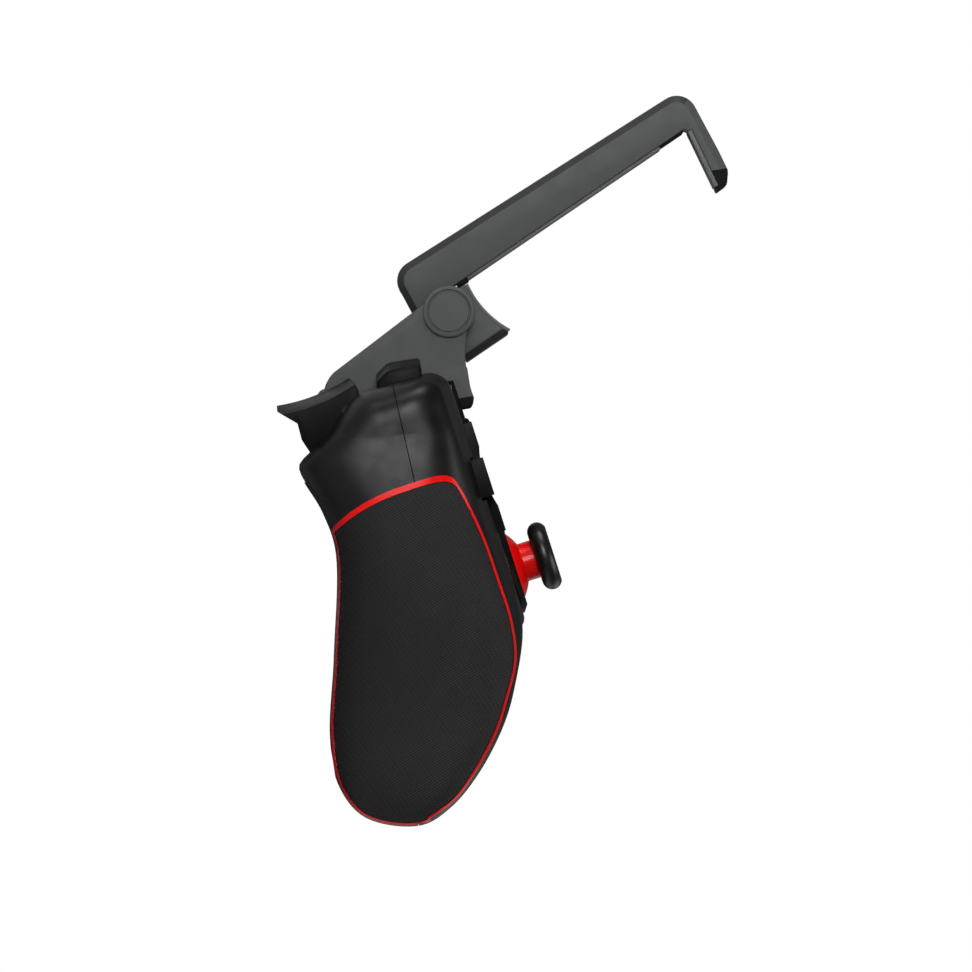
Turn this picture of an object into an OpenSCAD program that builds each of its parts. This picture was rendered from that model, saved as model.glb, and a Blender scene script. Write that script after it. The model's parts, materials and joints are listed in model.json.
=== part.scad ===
// Two-handed game controller with a tilting phone clamp clipped over its top.
// It lies on its back, face up: +X to the right hand, +Y to the triggers, +Z out of the table. Millimetres.

/* [Body] */
// Width across both grips
body_width = 156; // [150:0.5:162]
// How far the grips reach from the frame's origin towards the user
grip_reach = 85.2; // [82:0.2:88]
// Top of the shoulders, along Y
shoulder_y = 26; // [25.5:0.25:27]
// Seat of the phone mount on the middle of the body, along Y
seat_y = 22.4; // [21.8:0.1:22.8]
// Lower edge of the middle of the body, along Y
middle_bottom_y = -30; // [-33:0.5:-28]
// Height of the face above the table, measured at y = 0
face_height = 47.2; // [46.5:0.1:48]
// Tilt of the face against the table
face_tilt = 8.5; // [7.5:0.25:9.5]
// How far the middle of the face lies under the clusters and the stick lobes
face_step = 0.3; // [0.2:0.05:0.5]
// Height of the back above the table at the waist
waist_height = 8.8; // [7.5:0.1:10]
// Height of the middle of the back above the table
middle_back = 12.5; // [11.5:0.1:13.5]
// Wall of the moulded shells
wall = 2.6; // [2.4:0.1:3]
// Height of the parting seam above the table, measured at y = 0
seam_height = 31.3; // [30.5:0.1:32]
// Gap between the two shells along the seam
seam_gap = 0.1; // [0.05:0.05:0.2]

/* [Grip pads] */
// Thickness of the rubber pads
pad_thickness = 1.2; // [0.8:0.1:1.6]
// Width of the red trim along the pads' upper edge
trim_top_width = 1.5; // [1:0.1:2]
// Width of the red trim along the other edges
trim_width = 0.6; // [0.4:0.1:1]
// Distance of the pad's edge from the middle plane of its grip
pad_edge = 3; // [2.5:0.25:3.5]

/* [Sticks] */
// Distance between the two stick axes
stick_spacing = 48; // [46:0.5:50]
// Stick axes along Y
stick_y = -25.2; // [-26.5:0.1:-24.5]
// Diameter of the thumb caps
thumb_diameter = 17.4; // [16:0.1:18.5]
// Thickness of the thumb caps
thumb_thickness = 4.9; // [4:0.1:5.5]
// Height of a thumb cap's underside over the face
thumb_lift = 7; // [6.5:0.1:8]
// Diameter of the red necks
neck_diameter = 9.6; // [8.5:0.1:10]
// Radius of the dome under a neck, round the pivot
dome_radius = 12.7; // [12.4:0.1:13]
// Wall of the dome
dome_wall = 1.2; // [1:0.1:1.4]
// Depth of the stick's pivot under the face
pivot_depth = 8; // [7.8:0.1:8.4]
// Diameter of the bezel ring on the face
bezel_diameter = 24; // [23.5:0.1:25]
// Diameter of the bezel's upper rim
bezel_rim_diameter = 20.4; // [20:0.1:21]
// Height of the bezel over the face
bezel_height = 1.7; // [1.4:0.1:2]
// Radius of the round housing lobe behind a stick
stick_lobe = 15.5; // [15:0.1:16.5]
// Side of the square stick module
module_side = 14; // [13.6:0.1:14.4]
// Diameter of the gimbal pins
gimbal_pin = 1.6; // [1.4:0.1:1.8]

/* [Direction pad and buttons] */
// Distance between the centres of the two button clusters
cluster_spacing = 96; // [94:0.5:98]
// Cluster centres along Y
cluster_y = -2; // [-2.5:0.1:-1]
// Thickness of the deck that carries a cluster
deck_thickness = 3.2; // [3:0.1:3.6]
// Span of the direction pad from tip to tip
dpad_span = 28.6; // [27:0.2:29.4]
// Width of a direction pad's arm
dpad_arm = 9.8; // [9:0.1:10.4]
// Height of the direction pad's tips over the face
dpad_height = 2.2; // [1.8:0.1:3]
// Diameter of the ball that the direction pad rocks on
dpad_ball = 4; // [3.6:0.1:4.2]
// Diameter of the action buttons
button_diameter = 10.6; // [9.8:0.1:11]
// Distance of an action button from its cluster's centre
button_pitch = 10.6; // [10.3:0.1:11]
// Height of the action buttons over the face
button_height = 2; // [1.8:0.1:2.6]
// Travel of the action buttons
button_travel = 1.2; // [0.8:0.1:1.4]
// Length of the two menu buttons
menu_length = 9; // [8:0.1:10]
// Width of the two menu buttons
menu_width = 4; // [3.6:0.1:4.6]
// Diameter of the home button
home_diameter = 9; // [8:0.1:10]
// Height of the menu and home buttons over the face
menu_height = 0.8; // [0.6:0.1:1.2]
// Depth of the main board under the face
board_depth = 13; // [12.8:0.1:13.4]
// Thickness of the main board
board_thickness = 1.6; // [1.2:0.1:1.8]

/* [Triggers and bumpers] */
// Gap between the phone mount and the inner ends of the triggers and bumpers
shoulder_gap = 1.5; // [1.2:0.1:2.5]
// Width of the triggers
trigger_width = 28.6; // [27:0.1:29.2]
// Trigger pin along Y
trigger_pin_y = 20; // [19.6:0.1:20.4]
// Trigger pin's height above the table
trigger_pin_z = 17.2; // [16.8:0.1:17.4]
// Diameter of the trigger pins
trigger_pin_diameter = 2.4; // [2:0.1:2.8]
// How much lower a trigger's face is at its outer end
trigger_slope = 2.6; // [2:0.1:3]
// Depth of a bumper along Z
bumper_depth = 11.6; // [11:0.1:12]
// Height of a bumper's inner end over the shoulder
bumper_rise = 4.4; // [3.6:0.1:5]
// How much lower a bumper is at its outer end
bumper_slope = 2; // [1.5:0.1:2.4]

/* [Phone mount] */
// Width of the saddle over its cheeks
saddle_width = 62; // [61:0.2:62.4]
// Thickness of the cheeks
cheek_thickness = 4; // [3.6:0.1:4.4]
// Thickness of the saddle's bridge
bridge_thickness = 3; // [2.6:0.1:3.4]
// Thickness of the rubber liner under the saddle
liner_thickness = 1; // [0.8:0.1:1.2]
// Hinge pin along Y
hinge_y = 40.6; // [40.2:0.1:41.6]
// Hinge pin's height above the table
hinge_z = 46.4; // [45.8:0.1:47]
// Diameter of the hinge pin
hinge_pin_diameter = 5; // [4.4:0.1:5.2]
// Diameter of the hinge caps
hinge_cap_diameter = 13; // [12:0.1:14]
// Thickness of the hinge caps
hinge_cap_thickness = 1.2; // [0.9:0.1:1.6]

/* [Phone clamp] */
// Lean of the clamp from the table, as photographed
clamp_lean = 65; // [60:1:70]
// Distance from the hinge pin to the hook's inner face
clamp_height = 75.3; // [70:0.1:80]
// Depth of the arm at its lower end
arm_depth = 11.3; // [11:0.1:12]
// Depth of the arm at its upper end
arm_top_depth = 8.9; // [8.6:0.1:10]
// How far the hook reaches over the phone
hook_reach = 17.9; // [16:0.1:19]
// Thickness of the hook
hook_thickness = 4.8; // [4:0.1:5.2]
// Travel of the sliding arm
arm_travel = 18; // [12:0.5:20]
// Thickness of the arm's long pad
arm_pad_thickness = 0.8; // [0.6:0.1:1.2]

/* [Clearances] */
// Gap round the buttons, the bumpers and the direction pad
button_clearance = 0.4; // [0.3:0.05:0.5]
// Radial clearance of a pin in its bore
pin_clearance = 0.05; // [0.03:0.01:0.08]
// Gap between the tongue and the arm that slides on it
slide_clearance = 0.3; // [0.25:0.05:0.4]
// Gap between the cheeks and the clamp
cheek_clearance = 0.5; // [0.4:0.05:0.8]
// Gap between a dome and its bezel
dome_clearance = 0.4; // [0.3:0.05:0.5]

/* [Hidden] */
$fn = 48;
LEFT = -1;
RIGHT = 1;
far = 200;

// Places and sizes that follow from the values above
stick_x = stick_spacing / 2;
cluster_x = cluster_spacing / 2;
shoulder_inner = saddle_width / 2 + shoulder_gap;
shell_black = [0.09, 0.09, 0.1];
mount_grey = [0.27, 0.28, 0.29];
trim_red = [0.9, 0.08, 0.08];

function lerp(a, b, t) = a + (b - a) * t;
function face_z(y) = face_height - y * tan(face_tilt);
function seam_z(y) = seam_height - y * (y > 0 ? 0.063 : -0.15);

// Side outline of a grip as [y, z] knots:
// down the front, round the heel, up the back to the trigger's opening
heel = [-grip_reach, 19];
outline_knots = [
    [shoulder_y, 35], [shoulder_y - 0.2, 39.5], [23, face_z(23) - 0.6], [16, face_z(16)],
    [-8, face_z(-8)], [-30, face_z(-30)], [-41, face_z(-41) - 1.4], [-54, 48],
    [-grip_reach + 22, 43.8], [-grip_reach + 11, 35.8], [-grip_reach + 3.3, 27.2], heel,
    [-grip_reach + 4.2, 5.5], [-grip_reach + 13, 0.3], [-grip_reach + 25, 0], [-40, 4.2],
    [-14, waist_height], [-4, waist_height - 1.7], [8.2, 2.9], [10.9, 5.7],
    [14.9, 11.4], [19.5, 15.6], [shoulder_y - 2.4, 20.4], [shoulder_y - 1.2, 27]];
steps_per_knot = 2;
// The line inside the grip that its rounded sides rise from
spine_top = [12, 26];
spine_end = [-grip_reach + 19, 20.5];
spine_line = spine_end - spine_top;
grip_half_top = 32.5;
grip_half_end = 19.5;
grip_mid_top = body_width / 2 - grip_half_top;
grip_mid_end = body_width / 2 - grip_half_end;
grip_inner_top = 23.5;
grip_inner_end = 14;
widest_at = 0.35;
grip_narrowing = 15;
shoulder_power = 4.6;
grip_power = 2.4;
half_strips = 6;
hollow_half_strips = 4;
pole_angle = 84;

// Centripetal curve through a closed ring of knots
function knot(k, i) = k[(i + len(k)) % len(k)];
function pace(a, b) = sqrt(norm(b - a));
function bend(a, b, c, d, t) =
    let (t1 = pace(a, b), t2 = t1 + pace(b, c), t3 = t2 + pace(c, d), u = lerp(t1, t2, t))
    let (p = lerp(a, b, u / t1), q = lerp(b, c, (u - t1) / (t2 - t1)), r = lerp(c, d, (u - t2) / (t3 - t2)))
    let (v = lerp(p, q, u / t2), w = lerp(q, r, (u - t1) / (t3 - t1)))
    lerp(v, w, (u - t1) / (t2 - t1));
function ring_curve(k, n) = [for (i = [0:len(k) - 1]) for (j = [0:n - 1])
    bend(knot(k, i - 1), knot(k, i), knot(k, i + 1), knot(k, i + 2), j / n)];
function open_curve(k, n) = [for (i = [1:len(k) - 3]) for (j = [0:n - 1])
    bend(k[i - 1], k[i], k[i + 1], k[i + 2], j / n)];

// The grip's sides: rings of the outline that shrink towards the spine as they rise along X
function spine_share(p) = min(1, max(0, (p - spine_top) * spine_line / (spine_line * spine_line)));
function grip_mid(y) = lerp(grip_mid_top, grip_mid_end, (y - spine_top[0]) / spine_line[0]);
function reach_out(t) = body_width / 2 - grip_narrowing * pow(t - widest_at, 2)
    - lerp(grip_mid_top, grip_mid_end, t);
function reach_in(t) = lerp(grip_inner_top, grip_inner_end, t);
function grip_roundness(t) = lerp(shoulder_power, grip_power, sin(90 * min(1, 2 * t)));
function grip_point(p, angle, inset) =
    let (t = spine_share(p), s = spine_top + spine_line * t, d = p - s, e = 2 / grip_roundness(t))
    let (q = s + d * (1 - inset / norm(d)) * pow(cos(angle), e))
    let (reach = (angle < 0 ? reach_in(t) : reach_out(t)) - inset)
    [grip_mid(q[0]) + sign(angle) * reach * pow(abs(sin(angle)), e), q[0], q[1]];

module grip(inset, fine = true) {
    outline = ring_curve(outline_knots, fine ? steps_per_knot : 1);
    n = len(outline);
    strips = 2 * (fine ? half_strips : hollow_half_strips);
    points = [for (k = [0:strips]) for (p = outline)
        grip_point(p, lerp(-pole_angle, pole_angle, k / strips), inset)];
    sides = [for (k = [0:strips - 1]) for (i = [0:n - 1]) let (a = k * n + i, b = k * n + (i + 1) % n)
        each [[a, b + n, b], [a, a + n, b + n]]];
    // The last ring on each side is closed by a strip across the spine
    pole = [for (i = [0:n / 2 - 1]) each [[i, i + 1, n - 1 - i], [i, n - 1 - i, (n - i) % n]]];
    top = strips * n;
    flipped = [for (f = pole) [f[2] + top, f[1] + top, f[0] + top]];
    faces = [for (f = concat(sides, pole, flipped)) if (f[0] != f[1] && f[1] != f[2] && f[0] != f[2]) f];
    polyhedron(points, faces);
}

// Transforms and small helpers
module on_side(side) mirror([side < 0 ? 1 : 0, 0, 0]) children();
module pair() for (side = [LEFT, RIGHT]) on_side(side) children();
module on_face(x, y) translate([x, y, face_z(y)]) rotate([-face_tilt, 0, 0]) children();
module side_extrude(x0, x1) translate([x0, 0, 0]) rotate([90, 0, 90]) linear_extrude(x1 - x0) children();
module slab(x, y, z) translate([x[0], y[0], z[0]]) cube([x[1] - x[0], y[1] - y[0], z[1] - z[0]]);
module disc(d, h0, h1) translate([0, 0, h0]) cylinder(d = d, h = h1 - h0);
module rounded(r) offset(r = r) offset(delta = -r) children();

// Housing
shell_facets = 18;
middle_half = 42;
middle_round = 4;
seat_stock = 0.6;
seat_gap = 0.1;
back_fall = 2.5;
module middle_profile() polygon([[seat_y + seat_stock, middle_back],
    [seat_y + seat_stock, face_z(seat_y + seat_stock) - face_step],
    [middle_bottom_y, face_z(middle_bottom_y) - face_step], [middle_bottom_y, middle_back - back_fall],
    [back_lip_y - 5, middle_back]]);
module middle(inset) side_extrude(-middle_half, middle_half) offset(delta = -inset) rounded(middle_round)
    middle_profile();
lobe_straight = 9;
lobe_bowl = 15;
lobe_floor = 7;
module stick_lobes(inset) pair() on_face(stick_x, stick_y) {
    translate([0, 0, -lobe_straight]) cylinder(r = stick_lobe - inset, h = lobe_straight - inset);
    translate([0, 0, -lobe_straight - lobe_bowl + inset])
        cylinder(r1 = lobe_floor - inset / 2, r2 = stick_lobe - inset, h = lobe_bowl - inset);
}
module body(inset, fine = true) {
    pair() grip(inset, fine);
    middle(inset);
    stick_lobes(inset);
}

// Trigger wells: pockets in the back of the shoulders, closed against the inside
well_gap = 0.5;
well_wall = 1.6;
well_x = [shoulder_inner - well_gap, shoulder_inner + trigger_width + well_gap];
pin_x = [well_x[0] - well_wall, well_x[1] + well_wall];
well_floor = 4;
well_front = 21.6;
module well_walls() slab(pin_x, [well_floor - well_wall, far], [-far, well_front + well_wall]);
module wells() pair() slab(well_x, [well_floor, far], [-far, well_front]);
module trigger_axis(x0, x1, d) translate([x0, trigger_pin_y, trigger_pin_z]) rotate([0, 90, 0])
    cylinder(d = d, h = x1 - x0);

// Screws: [x, y, seat of the head below the face, top of the rear post below the face]
board_back = board_depth + board_thickness;
screw_places = [[16, 12, 29, board_back], [42, -31, 34, board_back], [60, -58, 44, 35]];
post_radius = 3.2;
screw_diameter = 2.2;
screw_head = 4.4;
head_height = 1.8;
screw_bite = 7;
module at_screws() pair() for (s = screw_places) on_face(s[0], s[1]) let ($seat = -s[2], $join = -s[3])
    children();
module rear_posts() at_screws() disc(2 * post_radius, -far, $join);
module screw_bores() at_screws() {
    disc(screw_diameter + 2 * pin_clearance, $seat, $join + screw_bite + 2);
    disc(screw_head + 1, -far, $seat);
}
front_join = -board_depth;
module front_bosses() at_screws() disc(2 * post_radius, $join > -board_back - 1 ? front_join : $join, far);

battery_size = [40, 22, 8];
battery_y = -4;
battery_depth = 16;
rib_thickness = 1.6;
module battery_ribs() for (x = [-1, 0, 1]) on_face(0, battery_y)
    translate([x * battery_size[0] / 3 - rib_thickness / 2, -battery_size[1] / 2, -far])
        cube([rib_thickness, battery_size[1], far - battery_depth - battery_size[2]]);
motor_place = [57, -44];
motor_diameter = 12;
motor_thickness = 4;
motor_depth = 36;
module motor_posts() pair() on_face(motor_place[0], motor_place[1])
    disc(motor_diameter, -far, -motor_depth - motor_thickness);

module front_side() side_extrude(-far, far) polygon([[far, seam_z(far)], [0, seam_z(0)], [-far, seam_z(-far)],
    [-far, far], [far, far]]);
module rear_side() side_extrude(-far, far) translate([0, -seam_gap]) polygon([[far, seam_z(far)],
    [0, seam_z(0)], [-far, seam_z(-far)], [-far, -far], [far, -far]]);

bumper_z = 31.5;
bumper_x = [shoulder_inner, shoulder_inner + trigger_width];
bumper_skirt = 6.5;
module bumper_slots() pair() slab([bumper_x[0] - button_clearance, bumper_x[1] + button_clearance],
    [shoulder_y - bumper_skirt - 3, far],
    [bumper_z - bumper_depth / 2 - button_clearance, bumper_z + bumper_depth / 2 + button_clearance]);

// The pad's outline from the side: a curve over its top and front, open to the back and the heel
pad_curve = open_curve([[-10, 6], [-8, 9.4], [-5.2, 14], [-2.4, 21], [-0.4, 30.5], [0.2, 37], [-1.2, 40.8],
    [-4, 42.8], [-16, 46.2], [-28, 48.2], [-40, 49.8], [-47, 49.5], [-56, 47.2]], 3);
pad_back = [[-14, 4], [-10, 7.4]];
pad_front = [[-50, 49], [-56, 48], [-70, far]];
module pad_limit() polygon(concat(pad_back, pad_curve, pad_front,
    [[-far, far], [-far, -far], [pad_back[0][0], -far]]));
edge_inset = 0.35;
module trim_outline() intersection() {
    offset(delta = -edge_inset) polygon(ring_curve(outline_knots, steps_per_knot));
    pad_limit();
}
module pad_outline() intersection() {
    offset(delta = -trim_width) trim_outline();
    translate([-trim_top_width, 0]) trim_outline();
}
// Only the outer side of the grip, from pad_edge outwards
module grip_side() linear_extrude(far) polygon([[grip_mid(far) + pad_edge, far],
    [grip_mid(-far) + pad_edge, -far], [far, -far], [far, far]]);
module pad_layer() intersection() {
    difference() {
        side_extrude(0, far) children();
        grip(pad_thickness);
    }
    grip_side();
}
module pad_recesses() pair() pad_layer() trim_outline();

socket_width = 9;
socket_height = 3.3;
socket_length = 7.4;
socket_z = 29;
module socket_profile(grow) hull() for (x = [-1, 1])
    translate([x * (socket_width - socket_height) / 2, 0]) circle(d = socket_height + 2 * grow);
module at_socket() translate([0, middle_bottom_y, socket_z]) rotate([-90, 0, 0]) children();

light_count = 4;
light_pitch = 5;
light_size = [1.2, 2.4];
light_clearance = 0.05;
light_y = -24;
middle_deck = wall + face_step / cos(face_tilt);
module lights(grow) for (i = [0:light_count - 1]) on_face((i - (light_count - 1) / 2) * light_pitch, light_y)
    translate([0, 0, -middle_deck - grow]) linear_extrude(middle_deck + 2 * grow)
        square(light_size + [2 * grow, 2 * grow], center = true);

menu_x = 14;
menu_y = 2;
home_y = -11;
flange = 0.9;
flange_height = 0.9;
flange_gap = 0.3;
module menu_profile(grow) hull() for (x = [-1, 1])
    translate([x * (menu_length - menu_width) / 2, 0]) circle(d = menu_width + 2 * grow);
module dpad_profile(grow) {
    square([dpad_span + 2 * grow, dpad_arm + 2 * grow], center = true);
    square([dpad_arm + 2 * grow, dpad_span + 2 * grow], center = true);
}
button_turns = [90, 0, 270, 180];
module at_button(i) on_face(cluster_x + button_pitch * cos(button_turns[i]), cluster_y
    + button_pitch * sin(button_turns[i]) * cos(face_tilt)) children();
deck_diameter = 37;
dpad_hole_clearance = 0.7;
module decks() pair() on_face(cluster_x, cluster_y) disc(deck_diameter, -deck_thickness, far);
module deck_room() pair() on_face(cluster_x, cluster_y) disc(deck_diameter, -board_depth, -deck_thickness);
mouth_depth = 4;
function mouth_radius(h) = sqrt(pow(dome_radius + dome_clearance, 2) - h * h) + 0.1;
module face_holes() {
    on_face(-cluster_x, cluster_y) linear_extrude(2 * far, center = true) dpad_profile(dpad_hole_clearance);
    for (i = [0:3]) at_button(i) disc(button_diameter + 2 * button_clearance, -board_depth, far);
    for (x = [-menu_x, menu_x]) on_face(x, menu_y) translate([0, 0, -board_depth + 3]) linear_extrude(far)
        menu_profile(button_clearance);
    on_face(0, home_y) disc(home_diameter + 2 * button_clearance, -board_depth + 3, far);
    lights(light_clearance);
    pair() on_face(stick_x, stick_y) translate([0, 0, -mouth_depth])
        cylinder(r1 = mouth_radius(pivot_depth - mouth_depth), r2 = mouth_radius(pivot_depth + face_step),
            h = mouth_depth + face_step);
}
// The saddle's place: a square seat at the top and a flat strip along the back
seat_half = saddle_width / 2 + cheek_clearance;
module seat_cut() {
    slab([-seat_half, seat_half], [seat_y, far], [-far, far]);
    slab([-seat_half, seat_half], [liner_front_y - cheek_clearance, far], [-far, middle_back - seat_gap / 2]);
}

module shells($fn = shell_facets) difference() {
    body(0);
    // The hollow inside, less what stands in it
    difference() {
        body(wall, fine = false);
        children();
    }
    pad_recesses();
    seat_cut();
    bumper_slots();
    at_socket() translate([0, 0, -far / 2]) linear_extrude(far) socket_profile(0.1);
}
module front_shell($fn = shell_facets) color(shell_black) resize([0, 0, 0]) difference() {
    intersection() {
        shells() {
            decks();
            front_bosses();
        }
        front_side();
    }
    deck_room();
    face_holes();
    screw_bores();
    wells();
}
module rear_shell($fn = shell_facets) color(shell_black) resize([0, 0, 0]) difference() {
    intersection() {
        shells() {
            pair() well_walls();
            rear_posts();
            battery_ribs();
            motor_posts();
        }
        rear_side();
    }
    wells();
    screw_bores();
    pair() trigger_axis(pin_x[0], pin_x[1], trigger_pin_diameter + 2 * pin_clearance);
}
module grip_pad(side) color([0.17, 0.17, 0.17]) on_side(side) resize([0, 0, 0]) intersection() {
    grip(0);
    pad_layer() pad_outline();
}
module grip_trim(side) color(trim_red) on_side(side) resize([0, 0, 0]) intersection() {
    grip(0);
    pad_layer() difference() {
        trim_outline();
        pad_outline();
    }
}
module shell_screws() color("silver") at_screws() {
    disc(screw_diameter, $seat, $join + screw_bite);
    disc(screw_head, $seat - head_height, $seat);
}

// Inside
board_half = 55;
board_top = 14;
board_margin = 1.5;
board_bottom = (middle_bottom_y + wall + board_margin + board_back * sin(face_tilt)) / cos(face_tilt);
board_corner = 12;
tab_share = 1.3;
module main_board() color("darkgreen") on_face(0, 0) difference() {
    translate([0, 0, -board_back]) linear_extrude(board_thickness) {
        difference() {
            translate([-board_half, board_bottom]) square([2 * board_half, board_top - board_bottom]);
            for (x = [-1, 1]) translate([x * board_half, board_bottom]) circle(r = board_corner);
        }
        // Round tabs under the stick modules
        for (x = [-stick_x, stick_x]) translate([x, stick_y / cos(face_tilt)])
            circle(d = module_side * tab_share);
    }
    for (s = screw_places, side = [LEFT, RIGHT]) translate([side * s[0], s[1] / cos(face_tilt), -far])
        cylinder(d = screw_diameter + 2 * pin_clearance, h = 2 * far);
}
film_thickness = 1;
press_gap = 0.8;
frame_top = deck_thickness + flange_gap + flange_height + button_travel + press_gap + film_thickness;
frame_outer = 30;
frame_wall = 1.6;
module button_frame() color("dimgray") pair() on_face(cluster_x, cluster_y) difference() {
    disc(frame_outer, -board_depth, -frame_top);
    disc(frame_outer - 2 * frame_wall, -far, -frame_top - frame_wall);
}
module button_film() color("gainsboro") on_face(cluster_x, cluster_y)
    disc(frame_outer, -frame_top, -frame_top + film_thickness);
module battery() color("slategray") on_face(0, battery_y)
    translate([0, 0, -battery_depth - battery_size[2] / 2]) cube(battery_size, center = true);
module motor(side) color("silver") on_side(side) on_face(motor_place[0], motor_place[1])
    disc(motor_diameter, -motor_depth - motor_thickness, -motor_depth);
socket_wall = 0.35;
module charge_socket() color("silver") at_socket() difference() {
    linear_extrude(socket_length) socket_profile(0);
    translate([0, 0, -1]) linear_extrude(socket_length) socket_profile(-socket_wall);
}
module indicator_lights() color("white") lights(0);

// Sticks
module at_stick(side) on_face(side * stick_x, stick_y) translate([0, 0, -pivot_depth]) children();
module stick_bezel(side) color([0.05, 0.05, 0.05]) at_stick(side) difference() {
    translate([0, 0, pivot_depth]) cylinder(d1 = bezel_diameter, d2 = bezel_rim_diameter, h = bezel_height);
    sphere(r = dome_radius + dome_clearance);
}
module_wall = 1.2;
module_top = 4.4;
module_mouth = 3.8;
module module_box(inset) translate([0, 0, pivot_depth - board_depth + inset])
    linear_extrude(board_depth - pivot_depth + module_top - 2 * inset)
        square(module_side - 2 * inset, center = true);
module stick_module(side) color("darkgray") at_stick(side) difference() {
    module_box(0);
    module_box(module_wall);
    cylinder(r = module_mouth, h = far);
    rotate([0, 90, 0]) cylinder(d = gimbal_pin + 2 * pin_clearance, h = far, center = true);
}
yoke_outer = 8.8;
yoke_inner = 6;
yoke_height = 3.2;
yoke_pin_root = 0.3;
module stick_yoke(side) color("whitesmoke") at_stick(side) {
    difference() {
        cylinder(d = yoke_outer, h = yoke_height, center = true);
        cylinder(d = yoke_inner, h = far, center = true);
        rotate([90, 0, 0]) cylinder(d = gimbal_pin + 2 * pin_clearance, h = far, center = true);
    }
    for (turn = [90, -90]) rotate([0, turn, 0])
        disc(gimbal_pin, yoke_inner / 2 + yoke_pin_root, module_side / 2);
}
shaft_diameter = 3.4;
dome_span = 60;
module dome_section() intersection() {
    difference() {
        circle(r = dome_radius);
        circle(r = dome_radius - dome_wall);
    }
    polygon([[0, 0], [far * sin(dome_span), far * cos(dome_span)], [0, far]]);
}
module stick_post(side) color(trim_red) at_stick(side) {
    rotate_extrude() {
        dome_section();
        translate([0, dome_radius - dome_wall]) square([neck_diameter / 2,
            pivot_depth + thumb_lift - dome_radius + dome_wall]);
        translate([0, -shaft_diameter / 2]) square([shaft_diameter / 2,
            dome_radius + shaft_diameter / 2 - dome_wall / 2]);
    }
    rotate([90, 0, 0]) cylinder(d = gimbal_pin, h = yoke_outer, center = true);
}
thumb_dish = 0.8;
module thumb_cap(side) color([0.06, 0.06, 0.06]) at_stick(side) translate([0, 0, pivot_depth + thumb_lift])
    difference() {
        rotate_extrude() {
            square([(thumb_diameter - thumb_thickness) / 2, thumb_thickness]);
            translate([(thumb_diameter - thumb_thickness) / 2, thumb_thickness / 2])
                circle(d = thumb_thickness);
        }
        translate([0, 0, thumb_thickness - thumb_dish + 2 * thumb_diameter]) sphere(r = 2 * thumb_diameter);
    }

// Direction pad and buttons
dpad_flange = 31.5;
dpad_flange_thickness = 0.8;
dpad_dish = 1.5;
dpad_socket_gap = 0.3;
dpad_axis = frame_top - dpad_ball / 2 - dpad_socket_gap;
module at_dpad() on_face(-cluster_x, cluster_y) translate([0, 0, -dpad_axis]) children();
module dpad_ball_pivot() color("silver") at_dpad() sphere(d = dpad_ball);
module dpad() color([0.07, 0.07, 0.07]) at_dpad() difference() {
    union() {
        linear_extrude(dpad_axis + dpad_height) dpad_profile(0);
        disc(dpad_flange, -dpad_flange_thickness / 2, dpad_flange_thickness / 2);
        disc(dpad_arm, -dpad_flange_thickness, dpad_axis);
    }
    sphere(d = dpad_ball + 2 * dpad_socket_gap);
    translate([0, 0, dpad_axis + dpad_height - dpad_dish + dpad_span]) sphere(r = dpad_span);
}
button_bevel = 1;
button_foot = deck_thickness + flange_gap + flange_height;
module button(i) color([0.07, 0.07, 0.07]) at_button(i) {
    disc(button_diameter, -button_foot, button_height - button_bevel);
    translate([0, 0, button_height - button_bevel])
        cylinder(d1 = button_diameter, d2 = button_diameter - 2 * button_bevel, h = button_bevel);
    disc(button_diameter + 2 * flange, -button_foot, flange_height - button_foot);
}
menu_foot = middle_deck + flange_gap + flange_height;
menu_switch = 1.6;
menu_base = board_depth - menu_switch;
module menu_button(x) color([0.07, 0.07, 0.07]) on_face(x, menu_y) {
    translate([0, 0, -menu_base]) linear_extrude(menu_base + menu_height) menu_profile(0);
    translate([0, 0, -menu_foot]) linear_extrude(flange_height) menu_profile(flange);
}
module home_button() color([0.07, 0.07, 0.07]) on_face(0, home_y) {
    disc(home_diameter, -menu_base, menu_height);
    disc(home_diameter + 2 * flange, -menu_foot, flange_height - menu_foot);
}

// Triggers and bumpers
trigger_top_radius = 46;
trigger_top_centre = [70.2, 0.3];
module trigger_hollow() translate(trigger_top_centre) circle(r = trigger_top_radius, $fn = 160);
trigger_barrel = 5.6;
// [y, z] outline: front end at the bumper, hinge barrel, side web and leg, flared tip
module trigger_profile() {
    difference() {
        polygon([[28.4, 18.6], [27, 20], [24.6, 20.9], [19.4, 20], [17.2, 17], [12.6, 13], [9.8, 9],
            [10.6, 6.8], [14.6, 5], [18.8, 4.6], [22.6, 0], [24.4, 0], [26, 6], [28.4, 12]]);
        trigger_hollow();
    }
    translate([trigger_pin_y, trigger_pin_z]) circle(d = trigger_barrel);
}
// What the sloping top takes away towards the outer end
module trigger_slope_cut() multmatrix([[1, 0, 0, 0], [-trigger_slope / trigger_width, 1, 0,
    trigger_slope * shoulder_inner / trigger_width], [0, 0, 1, 0]])
    side_extrude(shoulder_inner - 1, shoulder_inner + trigger_width + 1)
        trigger_hollow();
module trigger(side) color([0.05, 0.05, 0.05]) on_side(side) difference() {
    side_extrude(shoulder_inner, shoulder_inner + trigger_width) trigger_profile();
    trigger_slope_cut();
    trigger_axis(0, far, trigger_pin_diameter + 2 * pin_clearance);
}
module trigger_pin(side) color("silver") on_side(side)
    trigger_axis(pin_x[0], pin_x[1], trigger_pin_diameter);

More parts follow.
